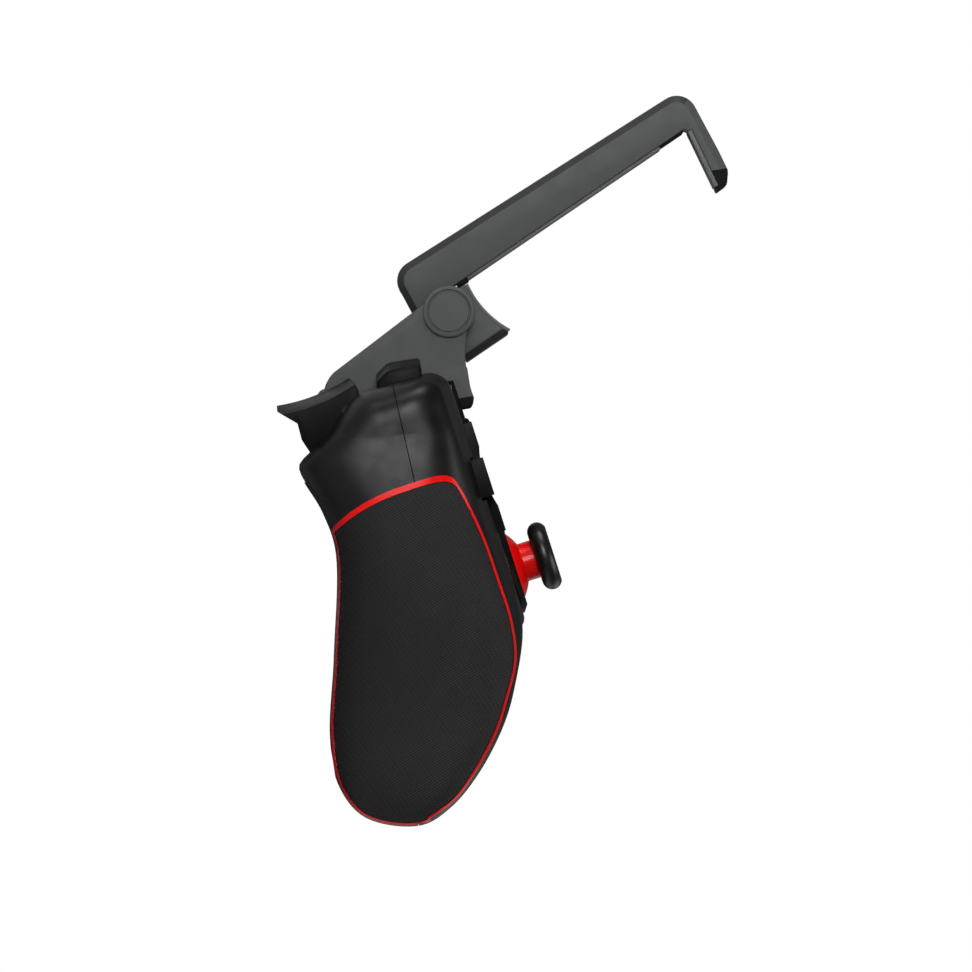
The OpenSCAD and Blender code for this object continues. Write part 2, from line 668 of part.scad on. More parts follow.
bumper_top = shoulder_y + bumper_rise;
bumper_round = 2.4;
module bumper(side) color([0.05, 0.05, 0.05]) on_side(side) difference() {
    side_extrude(bumper_x[0], bumper_x[1]) translate([shoulder_y - bumper_skirt, bumper_z - bumper_depth / 2])
        square([bumper_skirt + bumper_rise, bumper_depth]);
    // Top falls towards the outer end, with a bevel along the back
    translate([bumper_x[0], bumper_top, 0]) rotate([0, 0, -atan(bumper_slope / trigger_width)])
        slab([-far, far], [0, far], [-far, far]);
    translate([0, bumper_top - bumper_round, bumper_z - bumper_depth / 2]) rotate([45, 0, 0])
        slab([-far, far], [0, far], [-far, 0]);
}

// Phone mount
cheek_x = [saddle_width / 2 - cheek_thickness, saddle_width / 2];
bridge_y = seat_y + liner_thickness;
bridge_top = bridge_y + bridge_thickness;
saddle_front = 48.7;
saddle_back = 9.6;
front_lip_y = 15.9;
back_lip_y = 15;
cheek_top_radius = 5.4;
cheek_back_radius = 9.3;
cheek_back = [22.6, 20.9];
cheek_waist = [25.2, 81.45];
cheek_waist_radius = 33;
bridge_corner = 2;
module saddle_section() difference() {
    polygon([[front_lip_y, face_z(front_lip_y)], [front_lip_y, saddle_front],
        [bridge_top, saddle_front], [bridge_top, saddle_back + bridge_corner],
        [bridge_top - bridge_corner, saddle_back], [back_lip_y, saddle_back], [back_lip_y, middle_back]]);
    offset(delta = liner_thickness) seat_profile();
}
// The body's middle as the saddle grips it, with square edges
module seat_profile() polygon([[seat_y, middle_back - seat_gap], [seat_y, face_z(seat_y)],
    [-far, face_z(-far)], [-far, middle_back - seat_gap]]);
module cheek_profile() difference() {
    hull() {
        translate([hinge_y, hinge_z]) circle(r = cheek_top_radius);
        translate(cheek_back) circle(r = cheek_back_radius);
        translate([front_lip_y, saddle_front - 3]) square([4, 3]);
        translate([back_lip_y, saddle_back + 1]) square([8, 4]);
    }
    translate(cheek_waist) circle(r = cheek_waist_radius, $fn = 160);
    offset(delta = liner_thickness) seat_profile();
}
module saddle() color(mount_grey) difference() {
    union() {
        side_extrude(-saddle_width / 2, saddle_width / 2) saddle_section();
        pair() side_extrude(cheek_x[0], cheek_x[1]) cheek_profile();
    }
    translate([0, hinge_y, hinge_z]) rotate([0, 90, 0])
        cylinder(d = hinge_pin_diameter + 2 * pin_clearance, h = far, center = true);
}
liner_front_y = 13;
module saddle_liner() color([0.04, 0.04, 0.04]) side_extrude(-saddle_width / 2 + 1, saddle_width / 2 - 1)
    difference() {
        intersection() {
            offset(delta = liner_thickness) seat_profile();
            translate([liner_front_y, 0]) square([far, far]);
        }
        seat_profile();
    }
module hinge_pin() color("silver") translate([0, hinge_y, hinge_z]) rotate([0, 90, 0])
    cylinder(d = hinge_pin_diameter, h = saddle_width, center = true);
cap_ring = 10.9;
cap_groove = 0.3;
cap_groove_width = 0.4;
module hinge_cap(side) color(mount_grey) on_side(side) translate([saddle_width / 2, hinge_y, hinge_z])
    rotate([0, 90, 0]) difference() {
        cylinder(d = hinge_cap_diameter, h = hinge_cap_thickness);
        translate([0, 0, hinge_cap_thickness - cap_groove]) difference() {
            cylinder(d = cap_ring, h = cap_groove + 1);
            cylinder(d = cap_ring - 2 * cap_groove_width, h = far, center = true);
        }
    }

// Phone clamp: drawn from the hinge pin, Y along the arm and Z towards the phone
module at_clamp() translate([0, hinge_y, hinge_z]) rotate([clamp_lean, 0, 0]) children();
clamp_half = cheek_x[0] - cheek_clearance;
arm_front = -4.7;
arm_start = -7.9;
arm_round = 5.2;
arm_heel = 0.6;
hook_lean = 8.5;
hook_root = 1;
tip_slant = [1.7, 3];
tip_lip = 0.5;
arm_end = clamp_height + hook_thickness;
arm_chamfer = 1.8;
tongue_half = 20;
tongue_front = -7.4;
tongue_thickness = 5;
tongue_grip = 26;
tongue_end = tongue_grip + arm_travel;
neck_half = 12;
neck_end = 5;
// Side outlines, drawn in from the arm's back and ends by the chamfer along them
module arm_profile(inset) intersection() {
    hull() {
        translate([arm_start + arm_heel + arm_round, arm_front - arm_depth + arm_round])
            circle(r = arm_round - inset);
        translate([arm_end - arm_round, arm_front - arm_top_depth + arm_round]) circle(r = arm_round - inset);
        polygon([[arm_start + inset, arm_front], [arm_end - inset, arm_front],
            [arm_end - inset, arm_front - hook_root]]);
    }
    translate([-far, arm_front - far]) square([2 * far, far]);
}
module hook_profile(inset) translate([clamp_height, arm_front]) rotate(hook_lean) polygon([[0, -hook_root],
    [hook_thickness - inset, -hook_root], [hook_thickness - inset, hook_reach - tip_lip - tip_slant[1]],
    [hook_thickness - tip_slant[0] - inset / 2, hook_reach - tip_lip], [-tip_lip / 2, hook_reach],
    [-tip_lip, hook_reach - 2 * tip_lip]]);
module chamfered() hull() {
    side_extrude(arm_chamfer - clamp_half, clamp_half - arm_chamfer) children(0);
    side_extrude(-clamp_half, clamp_half) children(1);
}
arm_slot = [tongue_front - tongue_thickness - slide_clearance, tongue_front + slide_clearance];
module clamp_arm() color(mount_grey) at_clamp() difference() {
    union() {
        chamfered() {
            arm_profile(0);
            arm_profile(arm_chamfer);
        }
        chamfered() {
            hook_profile(0);
            hook_profile(arm_chamfer);
        }
    }
    // Room for the tongue, open at the arm's lower end, and for the jaw's neck
    slab([-tongue_half - slide_clearance, tongue_half + slide_clearance],
        [arm_start - 1, tongue_end + 1 + slide_clearance], arm_slot);
    slab([-neck_half - slide_clearance, neck_half + slide_clearance],
        [arm_start - 1, neck_end + slide_clearance], [tongue_front, 1]);
}
pad_start = 8.6;
pad_end = 67;
pad_margin = 0.6;
pad_half = clamp_half - pad_margin;
module arm_pad() color([0.45, 0.46, 0.47]) at_clamp()
    slab([-pad_half, pad_half], [pad_start, pad_end], [arm_front, arm_front + arm_pad_thickness]);

jaw_tip = [9.6, 12.6];
jaw_heel = [7.2, -3.5];
jaw_foot = [-3.4, 13];
jaw_hollow = 25;
jaw_barrel = 6.8;
jaw_chord = jaw_tip - jaw_heel;
jaw_centre = (jaw_tip + jaw_heel) / 2 + [jaw_chord[1], -jaw_chord[0]] / norm(jaw_chord)
    * sqrt(jaw_hollow * jaw_hollow - jaw_chord * jaw_chord / 4);
jaw_chamfer = 2;
jaw_bevel = 0.6;
tongue_root = 5;
jaw_pad_thickness = 0.8;
jaw_pad_z = [-3.2, 12.3];
module jaw_profile() {
    difference() {
        polygon([jaw_heel, jaw_tip, [jaw_tip[0] - jaw_bevel, jaw_foot[1]], jaw_foot, [-jaw_barrel / 2, 0],
            [0, -jaw_barrel / 2]]);
        translate(jaw_centre) circle(r = jaw_hollow, $fn = 160);
    }
    circle(d = jaw_barrel);
}
module lower_jaw() color(mount_grey) at_clamp() difference() {
    union() {
        difference() {
            side_extrude(-clamp_half, clamp_half) jaw_profile();
            pair() translate([clamp_half, 0, jaw_foot[1]]) rotate([0, 45, 0])
                cube([2 * jaw_chamfer * cos(45), far, 2 * jaw_chamfer * cos(45)], center = true);
        }
        slab([-neck_half, neck_half], [-tongue_root, neck_end], [tongue_front - 1, 0]);
        slab([-tongue_half, tongue_half], [-tongue_root, tongue_end],
            [tongue_front - tongue_thickness, tongue_front]);
    }
    rotate([0, 90, 0]) cylinder(d = hinge_pin_diameter + 2 * pin_clearance, h = far, center = true);
}
module jaw_pad() color([0.45, 0.46, 0.47]) at_clamp() side_extrude(-pad_half, pad_half)
    intersection() {
        translate(jaw_centre) difference() {
            circle(r = jaw_hollow, $fn = 160);
            circle(r = jaw_hollow - jaw_pad_thickness, $fn = 160);
        }
        translate([0, jaw_pad_z[0]]) square([jaw_hollow, jaw_pad_z[1] - jaw_pad_z[0]]);
    }

front_shell();
rear_shell();
grip_pad(LEFT);  // grip_pad_left
grip_pad(RIGHT);  // grip_pad_right
grip_trim(LEFT);  // grip_trim_left
grip_trim(RIGHT);  // grip_trim_right
shell_screws();
main_board();
button_frame();
button_film();
battery();
motor(LEFT);  // motor_left
motor(RIGHT);  // motor_right
charge_socket();
indicator_lights();
stick_bezel(LEFT);  // stick_bezel_left
stick_bezel(RIGHT);  // stick_bezel_right
stick_module(LEFT);  // stick_module_left
stick_module(RIGHT);  // stick_module_right
stick_yoke(LEFT);  // stick_yoke_left
stick_yoke(RIGHT);  // stick_yoke_right
stick_post(LEFT);  // stick_post_left
stick_post(RIGHT);  // stick_post_right
thumb_cap(LEFT);  // thumb_cap_left
thumb_cap(RIGHT);  // thumb_cap_right
dpad_ball_pivot();
dpad();
button(0);  // button_north
button(1);  // button_east
button(2);  // button_south
button(3);  // button_west
menu_button(-menu_x);  // select_button
menu_button(menu_x);  // start_button
home_button();
trigger(LEFT);  // trigger_left
trigger(RIGHT);  // trigger_right
trigger_pin(LEFT);  // trigger_pin_left
trigger_pin(RIGHT);  // trigger_pin_right
bumper(LEFT);  // bumper_left
bumper(RIGHT);  // bumper_right
saddle();
saddle_liner();
hinge_pin();
hinge_cap(LEFT);  // hinge_cap_left
hinge_cap(RIGHT);  // hinge_cap_right
lower_jaw();
jaw_pad();
clamp_arm();
arm_pad();
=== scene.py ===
"""Looks of a two-handed game controller with a tilting phone clamp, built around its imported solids.

Shapes are drawn in millimetres in the part's own frame and become pieces in metres.
"""

from __future__ import annotations

import json
import logging
import math
from dataclasses import dataclass
from enum import Enum
from typing import Iterable, Sequence

import bmesh
import bpy
from mathutils import Matrix, Vector
from mathutils.geometry import intersect_line_line_2d

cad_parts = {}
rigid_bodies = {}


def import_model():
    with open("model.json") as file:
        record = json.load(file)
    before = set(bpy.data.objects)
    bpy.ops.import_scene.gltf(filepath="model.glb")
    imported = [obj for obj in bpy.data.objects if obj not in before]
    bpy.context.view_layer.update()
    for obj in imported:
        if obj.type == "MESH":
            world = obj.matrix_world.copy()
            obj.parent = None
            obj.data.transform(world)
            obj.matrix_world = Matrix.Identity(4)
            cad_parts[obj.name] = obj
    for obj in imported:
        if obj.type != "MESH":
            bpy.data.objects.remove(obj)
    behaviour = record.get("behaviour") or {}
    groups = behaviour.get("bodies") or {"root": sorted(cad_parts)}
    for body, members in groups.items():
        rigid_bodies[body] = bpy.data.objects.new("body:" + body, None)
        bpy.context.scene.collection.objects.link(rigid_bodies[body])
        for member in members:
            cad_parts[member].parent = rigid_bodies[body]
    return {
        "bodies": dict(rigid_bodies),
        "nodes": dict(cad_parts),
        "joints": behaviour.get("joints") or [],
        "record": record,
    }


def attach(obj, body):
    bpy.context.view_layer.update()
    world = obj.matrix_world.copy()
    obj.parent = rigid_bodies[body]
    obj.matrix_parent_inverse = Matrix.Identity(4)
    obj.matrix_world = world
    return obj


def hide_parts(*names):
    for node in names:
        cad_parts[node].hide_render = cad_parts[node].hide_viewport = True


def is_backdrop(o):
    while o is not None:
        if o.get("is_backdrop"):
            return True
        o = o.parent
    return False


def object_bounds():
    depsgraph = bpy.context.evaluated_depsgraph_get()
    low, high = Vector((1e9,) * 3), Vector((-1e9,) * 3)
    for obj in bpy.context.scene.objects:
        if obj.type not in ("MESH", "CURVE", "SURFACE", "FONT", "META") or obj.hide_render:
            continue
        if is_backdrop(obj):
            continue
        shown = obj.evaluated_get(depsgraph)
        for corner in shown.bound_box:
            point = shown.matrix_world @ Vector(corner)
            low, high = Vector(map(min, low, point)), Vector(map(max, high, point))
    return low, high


log = logging.getLogger("controller")

MM = 0.001
FAR = 200.0
# Face attribute that marks chamfers for painted shade, and how far that painted shade darkens their colour
CHAMFER_SHADE_MARK = "polish"
CHAMFER_SHADE_FACTOR = 0.15

# How far parts of a solid reach into each other, and how near points are welded, in millimetres
OVERLAP = 0.01
WELD_CUT = 0.002
WELD_TURNED = 0.0005
WELD_LOFT = 0.004
# Faces that meet at less than this count as one, and a corner is never moved as if it were sharper
LEVEL = math.radians(0.4)
SHARPEST = 0.4

Point = tuple[float, float]
Span = tuple[float, float]
Colour = tuple[float, float, float]

# The hinge of the phone clamp, as [y, z], and the bore for its pin
HINGE: Point = (40.6, 46.4)
HINGE_BORE = 5.1


class Side(Enum):
    """The hand that a piece belongs to."""

    LEFT = -1
    RIGHT = 1

    @property
    def word(self) -> str:
        """The side as it stands in the names of nodes and bodies."""
        return self.name.lower()


class Cut(Enum):
    """What a boolean does with its tools."""

    TAKE = "DIFFERENCE"
    ADD = "UNION"
    KEEP = "INTERSECT"


# Outlines


def curve_between(a: Vector, b: Vector, c: Vector, d: Vector, share: float) -> Vector:
    """Gives a point of the centripetal curve from b to c.

    Args:
        a: Knot before the stretch.
        b: Knot that the stretch starts at.
        c: Knot that the stretch ends at.
        d: Knot after the stretch.
        share: Place along the stretch, from 0 to 1.

    Returns:
        The point on the curve.
    """
    t1 = math.sqrt((b - a).length)
    t2 = t1 + math.sqrt((c - b).length)
    t3 = t2 + math.sqrt((d - c).length)
    u = t1 + (t2 - t1) * share
    p = a.lerp(b, u / t1)
    q = b.lerp(c, (u - t1) / (t2 - t1))
    r = c.lerp(d, (u - t2) / (t3 - t2))
    return p.lerp(q, u / t2).lerp(q.lerp(r, (u - t1) / (t3 - t1)), (u - t1) / (t2 - t1))


def smooth_curve(knots: Sequence[Point], steps: int, closed: bool = True) -> list[Vector]:
    """Gives a smooth curve through knots.

    Args:
        knots: Points that the curve passes. An open curve leaves out the first and the last one.
        steps: Points for each stretch between two knots.
        closed: Whether the curve runs on from the last knot to the first.

    Returns:
        The points of the curve, in order.
    """
    k = [Vector(p) for p in knots]
    n = len(k)
    return [curve_between(k[i - 1], k[i], k[(i + 1) % n], k[(i + 2) % n], j / steps)
            for i in (range(n) if closed else range(1, n - 2)) for j in range(steps)]


def inset_outline(outline: Sequence[Vector], depth: float) -> list[Vector]:
    """Moves each side of a closed outline inwards.

    Args:
        outline: Corners in order.
        depth: How far each side moves.

    Returns:
        The corners of the smaller outline.
    """
    n = len(outline)
    area = sum(outline[i - 1].cross(outline[i]) for i in range(n))
    turn = 1.0 if area > 0 else -1.0
    result = []
    for i in range(n):
        before = (outline[i] - outline[i - 1]).normalized()
        after = (outline[(i + 1) % n] - outline[i]).normalized()
        normals = [Vector((-d.y, d.x)) * turn for d in (before, after)]
        middle = normals[0] + normals[1]
        result.append(outline[i] + middle * (depth / max(SHARPEST, 1.0 + normals[0].dot(normals[1]))))
    return result


# Solids


def placed(name: str, data: bpy.types.ID) -> bpy.types.Object:
    """Puts an object with its data into the scene and returns it.

    Args:
        name: Name of the object.
        data: Its mesh, light or camera.

    Returns:
        The object.
    """
    thing = bpy.data.objects.new(name, data)
    bpy.context.scene.collection.objects.link(thing)
    return thing


class Blank:
    """A closed solid in millimetres that is cut and joined before it becomes a piece."""

    def __init__(self, form: bmesh.types.BMesh) -> None:
        """Takes over a bmesh and closes it into an object.

        Args:
            form: The mesh of the solid, which is freed.
        """
        bmesh.ops.recalc_face_normals(form, faces=form.faces)
        data = bpy.data.meshes.new("blank")
        form.to_mesh(data)
        form.free()
        self.body = placed("blank", data)

    def discard(self) -> None:
        """Removes the solid from the file."""
        data = self.body.data
        bpy.data.objects.remove(self.body)
        bpy.data.meshes.remove(data)

    def _boolean(self, cut: Cut, tools: Iterable[Blank]) -> Blank:
        """Runs one boolean after the other and drops the tools.

        Args:
            cut: What the booleans do.
            tools: Solids that are used up.

        Returns:
            This solid.
        """
        used = list(tools)
        for tool in used:
            step = self.body.modifiers.new(cut.name, "BOOLEAN")
            step.operation = cut.value
            step.solver = "MANIFOLD"
            step.object = tool.body
        graph = bpy.context.evaluated_depsgraph_get()
        made = bpy.data.meshes.new_from_object(self.body.evaluated_get(graph))
        self.body.modifiers.clear()
        old = self.body.data
        self.body.data = made
        bpy.data.meshes.remove(old)
        for tool in used:
            tool.discard()
        return self

    def take(self, *tools: Blank) -> Blank:
        """Cuts the tools away and returns this solid."""
        return self._boolean(Cut.TAKE, tools)

    def add(self, *tools: Blank) -> Blank:
        """Joins the tools on and returns this solid."""
        return self._boolean(Cut.ADD, tools)

    def keep(self, *tools: Blank) -> Blank:
        """Keeps what lies in all the tools and returns this solid."""
        return self._boolean(Cut.KEEP, tools)

    def part(self, tool: Blank) -> Blank:
        """Cuts off what lies in a tool.

        Args:
            tool: Solid that is used up.

        Returns:
            What was cut off.
        """
        end = self.copy().keep(tool.copy())
        self.take(tool)
        return end

    def copy(self) -> Blank:
        """Returns a second solid of the same shape."""
        form = bmesh.new()
        form.from_mesh(self.body.data)
        return Blank(form)

    def mirrored(self) -> Blank:
        """Returns the same solid for the other hand."""
        form = bmesh.new()
        form.from_mesh(self.body.data)
        bmesh.ops.scale(form, vec=(-1.0, 1.0, 1.0), verts=form.verts)
        return Blank(form)

    def on(self, side: Side) -> Blank:
        """Turns this right-hand solid into the one for a side and returns it."""
        if side is Side.RIGHT:
            return self
        other = self.mirrored()
        self.discard()
        return other

    def soften(self, width: float, steps: int = 3, angle: float = 32.0) -> Blank:
        """Rounds the sharp edges.

        Args:
            width: Width of the rounding.
            steps: Faces across the rounding.
            angle: Angle in degrees from which an edge counts as sharp.

        Returns:
            This solid.
        """
        form = bmesh.new()
        form.from_mesh(self.body.data)
        bmesh.ops.remove_doubles(form, verts=form.verts, dist=WELD_CUT)
        bmesh.ops.dissolve_limit(form, angle_limit=LEVEL, verts=form.verts, edges=form.edges)
        sharp = [e for e in form.edges if e.is_manifold and e.calc_face_angle(0.0) > math.radians(angle)]
        bmesh.ops.bevel(form, geom=sharp, offset=width, offset_type="OFFSET", affect="EDGES", segments=steps,
                        profile=0.5, material=-1, clamp_overlap=True)
        form.to_mesh(self.body.data)
        form.free()
        return self


def box(x: Span, y: Span, z: Span, place: Matrix | None = None) -> Blank:
    """Makes a block between two planes on each axis.

    Args:
        x: Lowest and highest X.
        y: Lowest and highest Y.
        z: Lowest and highest Z.
        place: Where the block's own frame stands.

    Returns:
        The block.
    """
    form = bmesh.new()
    middle = Vector(((x[0] + x[1]) / 2, (y[0] + y[1]) / 2, (z[0] + z[1]) / 2))
    sizes = Matrix.Diagonal((x[1] - x[0], y[1] - y[0], z[1] - z[0], 1.0))
    bmesh.ops.create_cube(form, size=1.0, matrix=(place or Matrix()) @ Matrix.Translation(middle) @ sizes)
    return Blank(form)


def rod(width: float, heights: Span, place: Matrix, upper: float | None = None, facets: int = 72) -> Blank:
    """Makes a cylinder or a cone along the Z of its place.

    Args:
        width: Diameter, or the lower one of a cone.
        heights: Lowest and highest point along Z.
        place: Frame that the rod stands in.
        upper: Upper diameter of a cone.
        facets: Faces round the rod.

    Returns:
        The rod.
    """
    form = bmesh.new()
    middle = Matrix.Translation((0.0, 0.0, (heights[0] + heights[1]) / 2))
    bmesh.ops.create_cone(form, cap_ends=True, segments=facets, radius1=width / 2,
                          radius2=(width if upper is None else upper) / 2, depth=heights[1] - heights[0],
                          matrix=place @ middle)
    return Blank(form)


def ball(radius: float, place: Matrix, facets: int = 64) -> Blank:
    """Makes a ball round the origin of its place.

    Args:
        radius: Radius of the ball.
        place: Frame that the ball stands in.
        facets: Faces round the ball.

    Returns:
        The ball.
    """
    form = bmesh.new()
    bmesh.ops.create_uvsphere(form, u_segments=facets, v_segments=facets // 2, radius=radius, matrix=place)
    return Blank(form)


def prism(outline: Sequence[Sequence[float]], across: Span, place: Matrix | None = None) -> Blank:
    """Pulls a [y, z] outline along X.

    Args:
        outline: Corners in order.
        across: Lowest and highest X.
        place: Frame that the outline stands in.

    Returns:
        The prism.
    """
    form = bmesh.new()
    corners = [form.verts.new((across[0], p[0], p[1])) for p in outline]
    face = form.faces.new(corners)
    pulled = bmesh.ops.extrude_face_region(form, geom=[face])["geom"]
    ends = [g for g in pulled if isinstance(g, bmesh.types.BMVert)]
    bmesh.ops.translate(form, vec=(across[1] - across[0], 0.0, 0.0), verts=ends)
    bmesh.ops.transform(form, matrix=place or Matrix(), verts=form.verts)
    return Blank(form)


UPRIGHT = Matrix(((0, 1, 0, 0), (0, 0, 1, 0), (1, 0, 0, 0), (0, 0, 0, 1)))


def plate(outline: Sequence[Sequence[float]], heights: Span, place: Matrix) -> Blank:
    """Pulls an [x, y] outline along the Z of its place, from one height to another."""
    return prism(outline, heights, place @ UPRIGHT)


def lathe(profile: Sequence[Point], place: Matrix, steps: int = 72) -> Blank:
    """Turns a [radius, height] profile that starts and ends on the axis.

    Args:
        profile: Points of the profile in order.
        place: Frame whose Z is the axis.
        steps: Faces round the axis.

    Returns:
        The turned solid.
    """
    form = bmesh.new()
    points = [form.verts.new((r, 0.0, h)) for r, h in profile]
    edges = [form.edges.new(pair) for pair in zip(points, points[1:])]
    bmesh.ops.spin(form, geom=points + edges, cent=(0, 0, 0), axis=(0, 0, 1), dvec=(0, 0, 0),
                   angle=2 * math.pi, steps=steps, use_merge=True, use_duplicate=False)
    bmesh.ops.remove_doubles(form, verts=form.verts, dist=WELD_TURNED)
    bmesh.ops.transform(form, matrix=place, verts=form.verts)
    return Blank(form)


def loft(rings: Sequence[Sequence[Vector]], capped: bool = True) -> Blank:
    """Skins a row of rings that have the same number of points.

    Args:
        rings: Points of each ring in order.
        capped: Whether the end rings are closed by a face.

    Returns:
        The skinned solid.
    """
    form = bmesh.new()
    first = bmesh.ops.create_circle(form, segments=len(rings[0]), radius=1.0)["verts"]
    place = {vert: i for i, vert in enumerate(first)}
    start = ring = list(form.edges)
    for k, points in enumerate(rings):
        if k:
            grown = bmesh.ops.extrude_edge_only(form, edges=ring)["geom"]
            ring = [g for g in grown if isinstance(g, bmesh.types.BMEdge)]
            fresh = [g for g in grown if isinstance(g, bmesh.types.BMVert)]
            olds = [next(e.other_vert(v) for e in v.link_edges if e.other_vert(v) in place) for v in fresh]
            place = {vert: place[old] for vert, old in zip(fresh, olds)}
        for vert, i in place.items():
            vert.co = points[i]
    if capped:
        bmesh.ops.edgeloop_fill(form, edges=start + ring)
    bmesh.ops.remove_doubles(form, verts=form.verts, dist=WELD_LOFT)
    return Blank(form)


def crosswise(point: Point, x: float = 0.0) -> Matrix:
    """Gives a frame at a [y, z] point whose Z lies along X."""
    return Matrix.Translation((x, *point)) @ Matrix.Rotation(math.radians(90), 4, "Y")


def arc(centre: Point, radius: float, start: float, end: float, steps: int) -> list[Point]:
    """Gives the points of an arc from one angle in degrees to another, with both ends."""
    turns = [math.radians(start + (end - start) * i / steps) for i in range(steps + 1)]
    return [(centre[0] + radius * math.cos(a), centre[1] + radius * math.sin(a)) for a in turns]


def pill(length: float, width: float, steps: int = 16) -> list[Point]:
    """Gives the outline of a bar with round ends, lying along X."""
    half = (length - width) / 2
    return (arc((half, 0.0), width / 2, -90, 90, steps) + arc((-half, 0.0), width / 2, 90, 270, steps))


# Finishes


class NodeBench:
    """Helps to wire the nodes of one material."""

    def __init__(self, name: str) -> None:
        """Starts a material with a shader and object coordinates.

        Args:
            name: Name of the material.
        """
        self.material = bpy.data.materials.new(name)
        self.material.use_nodes = True
        self.tree = self.material.node_tree
        self.shader = self.tree.nodes["Principled BSDF"]
        self.place = self.add("ShaderNodeTexCoord").outputs["Object"]

    def add(self, kind: str, **settings: object) -> bpy.types.Node:
        """Adds a node.

        Args:
            kind: Node type.
            **settings: Attributes of the node.

        Returns:
            The node.
        """
        node = self.tree.nodes.new(kind)
        for key, value in settings.items():
            setattr(node, key, value)
        return node

    def link(self, source: bpy.types.NodeSocket, target: bpy.types.NodeSocket) -> None:
        """Joins two sockets."""
        self.tree.links.new(source, target)

    def noise(self, size: float, detail: float = 3.0,
              stretch: Sequence[float] = (1, 1, 1)) -> bpy.types.NodeSocket:
        """Adds a noise pattern.

        Args:
            size: Size of its grains in millimetres.
            detail: Number of finer layers.
            stretch: Scale of the coordinates on each axis.

        Returns:
            The pattern's value.
        """
        mapping = self.add("ShaderNodeMapping")
        mapping.inputs["Scale"].default_value = stretch
        self.link(self.place, mapping.inputs["Vector"])
        node = self.add("ShaderNodeTexNoise")
        node.inputs["Scale"].default_value = 1.0 / (size * MM)
        node.inputs["Detail"].default_value = detail
        self.link(mapping.outputs["Vector"], node.inputs["Vector"])
        return node.outputs["Fac"]

    def span(self, value: bpy.types.NodeSocket, low: float, high: float,
             inside: Span = (0.3, 0.7)) -> bpy.types.NodeSocket:
        """Maps a pattern to a range.

        Args:
            value: The pattern.
            low: Result at the lower end.
            high: Result at the upper end.
            inside: Pattern values that the ends stand for.

        Returns:
            The mapped value.
        """
        node = self.add("ShaderNodeMapRange")
        ends = {"From Min": inside[0], "From Max": inside[1], "To Min": low, "To Max": high}
        for name, number in ends.items():
            node.inputs[name].default_value = number
        self.link(value, node.inputs["Value"])
        return node.outputs["Result"]

    def tint(self, share: bpy.types.NodeSocket, low: Colour, high: Colour, mark: str = "") -> None:
        """Colours the shader between two colours.

        Args:
            share: Pattern from 0 to 1.
            low: Colour at 0.
            high: Colour at 1.
            mark: Attribute of the mesh that paints shade on its faces, from 0 to 1.
        """
        ramp = self.add("ShaderNodeValToRGB")
        ramp.color_ramp.elements[0].color = (*low, 1.0)
        ramp.color_ramp.elements[1].color = (*high, 1.0)
        self.link(share, ramp.inputs["Fac"])
        colour = ramp.outputs["Color"]
        if mark:
            # Marked faces get painted shade: their colour moves towards a much darker copy of the low colour
            mix = self.add("ShaderNodeMixRGB")
            mix.inputs["Color2"].default_value = (*shaded(low, CHAMFER_SHADE_FACTOR), 1.0)
            self.link(self.add("ShaderNodeAttribute", attribute_name=mark).outputs["Fac"], mix.inputs["Fac"])
            self.link(colour, mix.inputs["Color1"])
            colour = mix.outputs["Color"]
        self.link(colour, self.shader.inputs["Base Color"])

    def gloss(self, pattern: bpy.types.NodeSocket, low: float, high: float) -> None:
        """Makes the roughness follow a pattern from one value to another."""
        self.link(self.span(pattern, low, high), self.shader.inputs["Roughness"])

    def bump(self, heights: Sequence[tuple[bpy.types.NodeSocket, float]]) -> None:
        """Raises the surface by patterns.

        Args:
            heights: Patterns with their heights in millimetres.
        """
        before = None
        for value, height in heights:
            node = self.add("ShaderNodeBump")
            node.inputs["Strength"].default_value = 1.0
            node.inputs["Distance"].default_value = height * MM
            self.link(value, node.inputs["Height"])
            if before is not None:
                self.link(before, node.inputs["Normal"])
            before = node.outputs["Normal"]
        if before is not None:
            self.link(before, self.shader.inputs["Normal"])


def shaded(colour: Colour, share: float) -> Colour:
    """Makes a colour lighter or darker by a factor."""
    return (min(1.0, colour[0] * share), min(1.0, colour[1] * share), min(1.0, colour[2] * share))


@dataclass(frozen=True)
class Moulded:
    """Moulded plastic or rubber with a fine grain and slightly uneven gloss."""

    name: str
    colour: Colour
    roughness: float
    grain: float = 0.28
    relief: float = 0.012
    mottle: float = 0.06
    uneven: float = 0.05
    specular: float = 0.5
    cloud_size: float = 9.0
    gloss_size: float = 4.0

    def material(self) -> bpy.types.Material:
        """Wires the material and returns it."""
        bench = NodeBench(self.name)
        cloud = bench.noise(self.cloud_size, 4.0)
        # Marked chamfers get painted shade on top of the mottled colour
        bench.tint(bench.span(cloud, 0.0, 1.0), shaded(self.colour, 1 - self.mottle),
                   shaded(self.colour, 1 + self.mottle), CHAMFER_SHADE_MARK)
        bench.gloss(bench.noise(self.gloss_size, 5.0), self.roughness - self.uneven,
                    self.roughness + self.uneven)
        bench.shader.inputs["Specular IOR Level"].default_value = self.specular
        bench.bump([(bench.noise(self.grain, 2.0), self.relief)])
        return bench.material


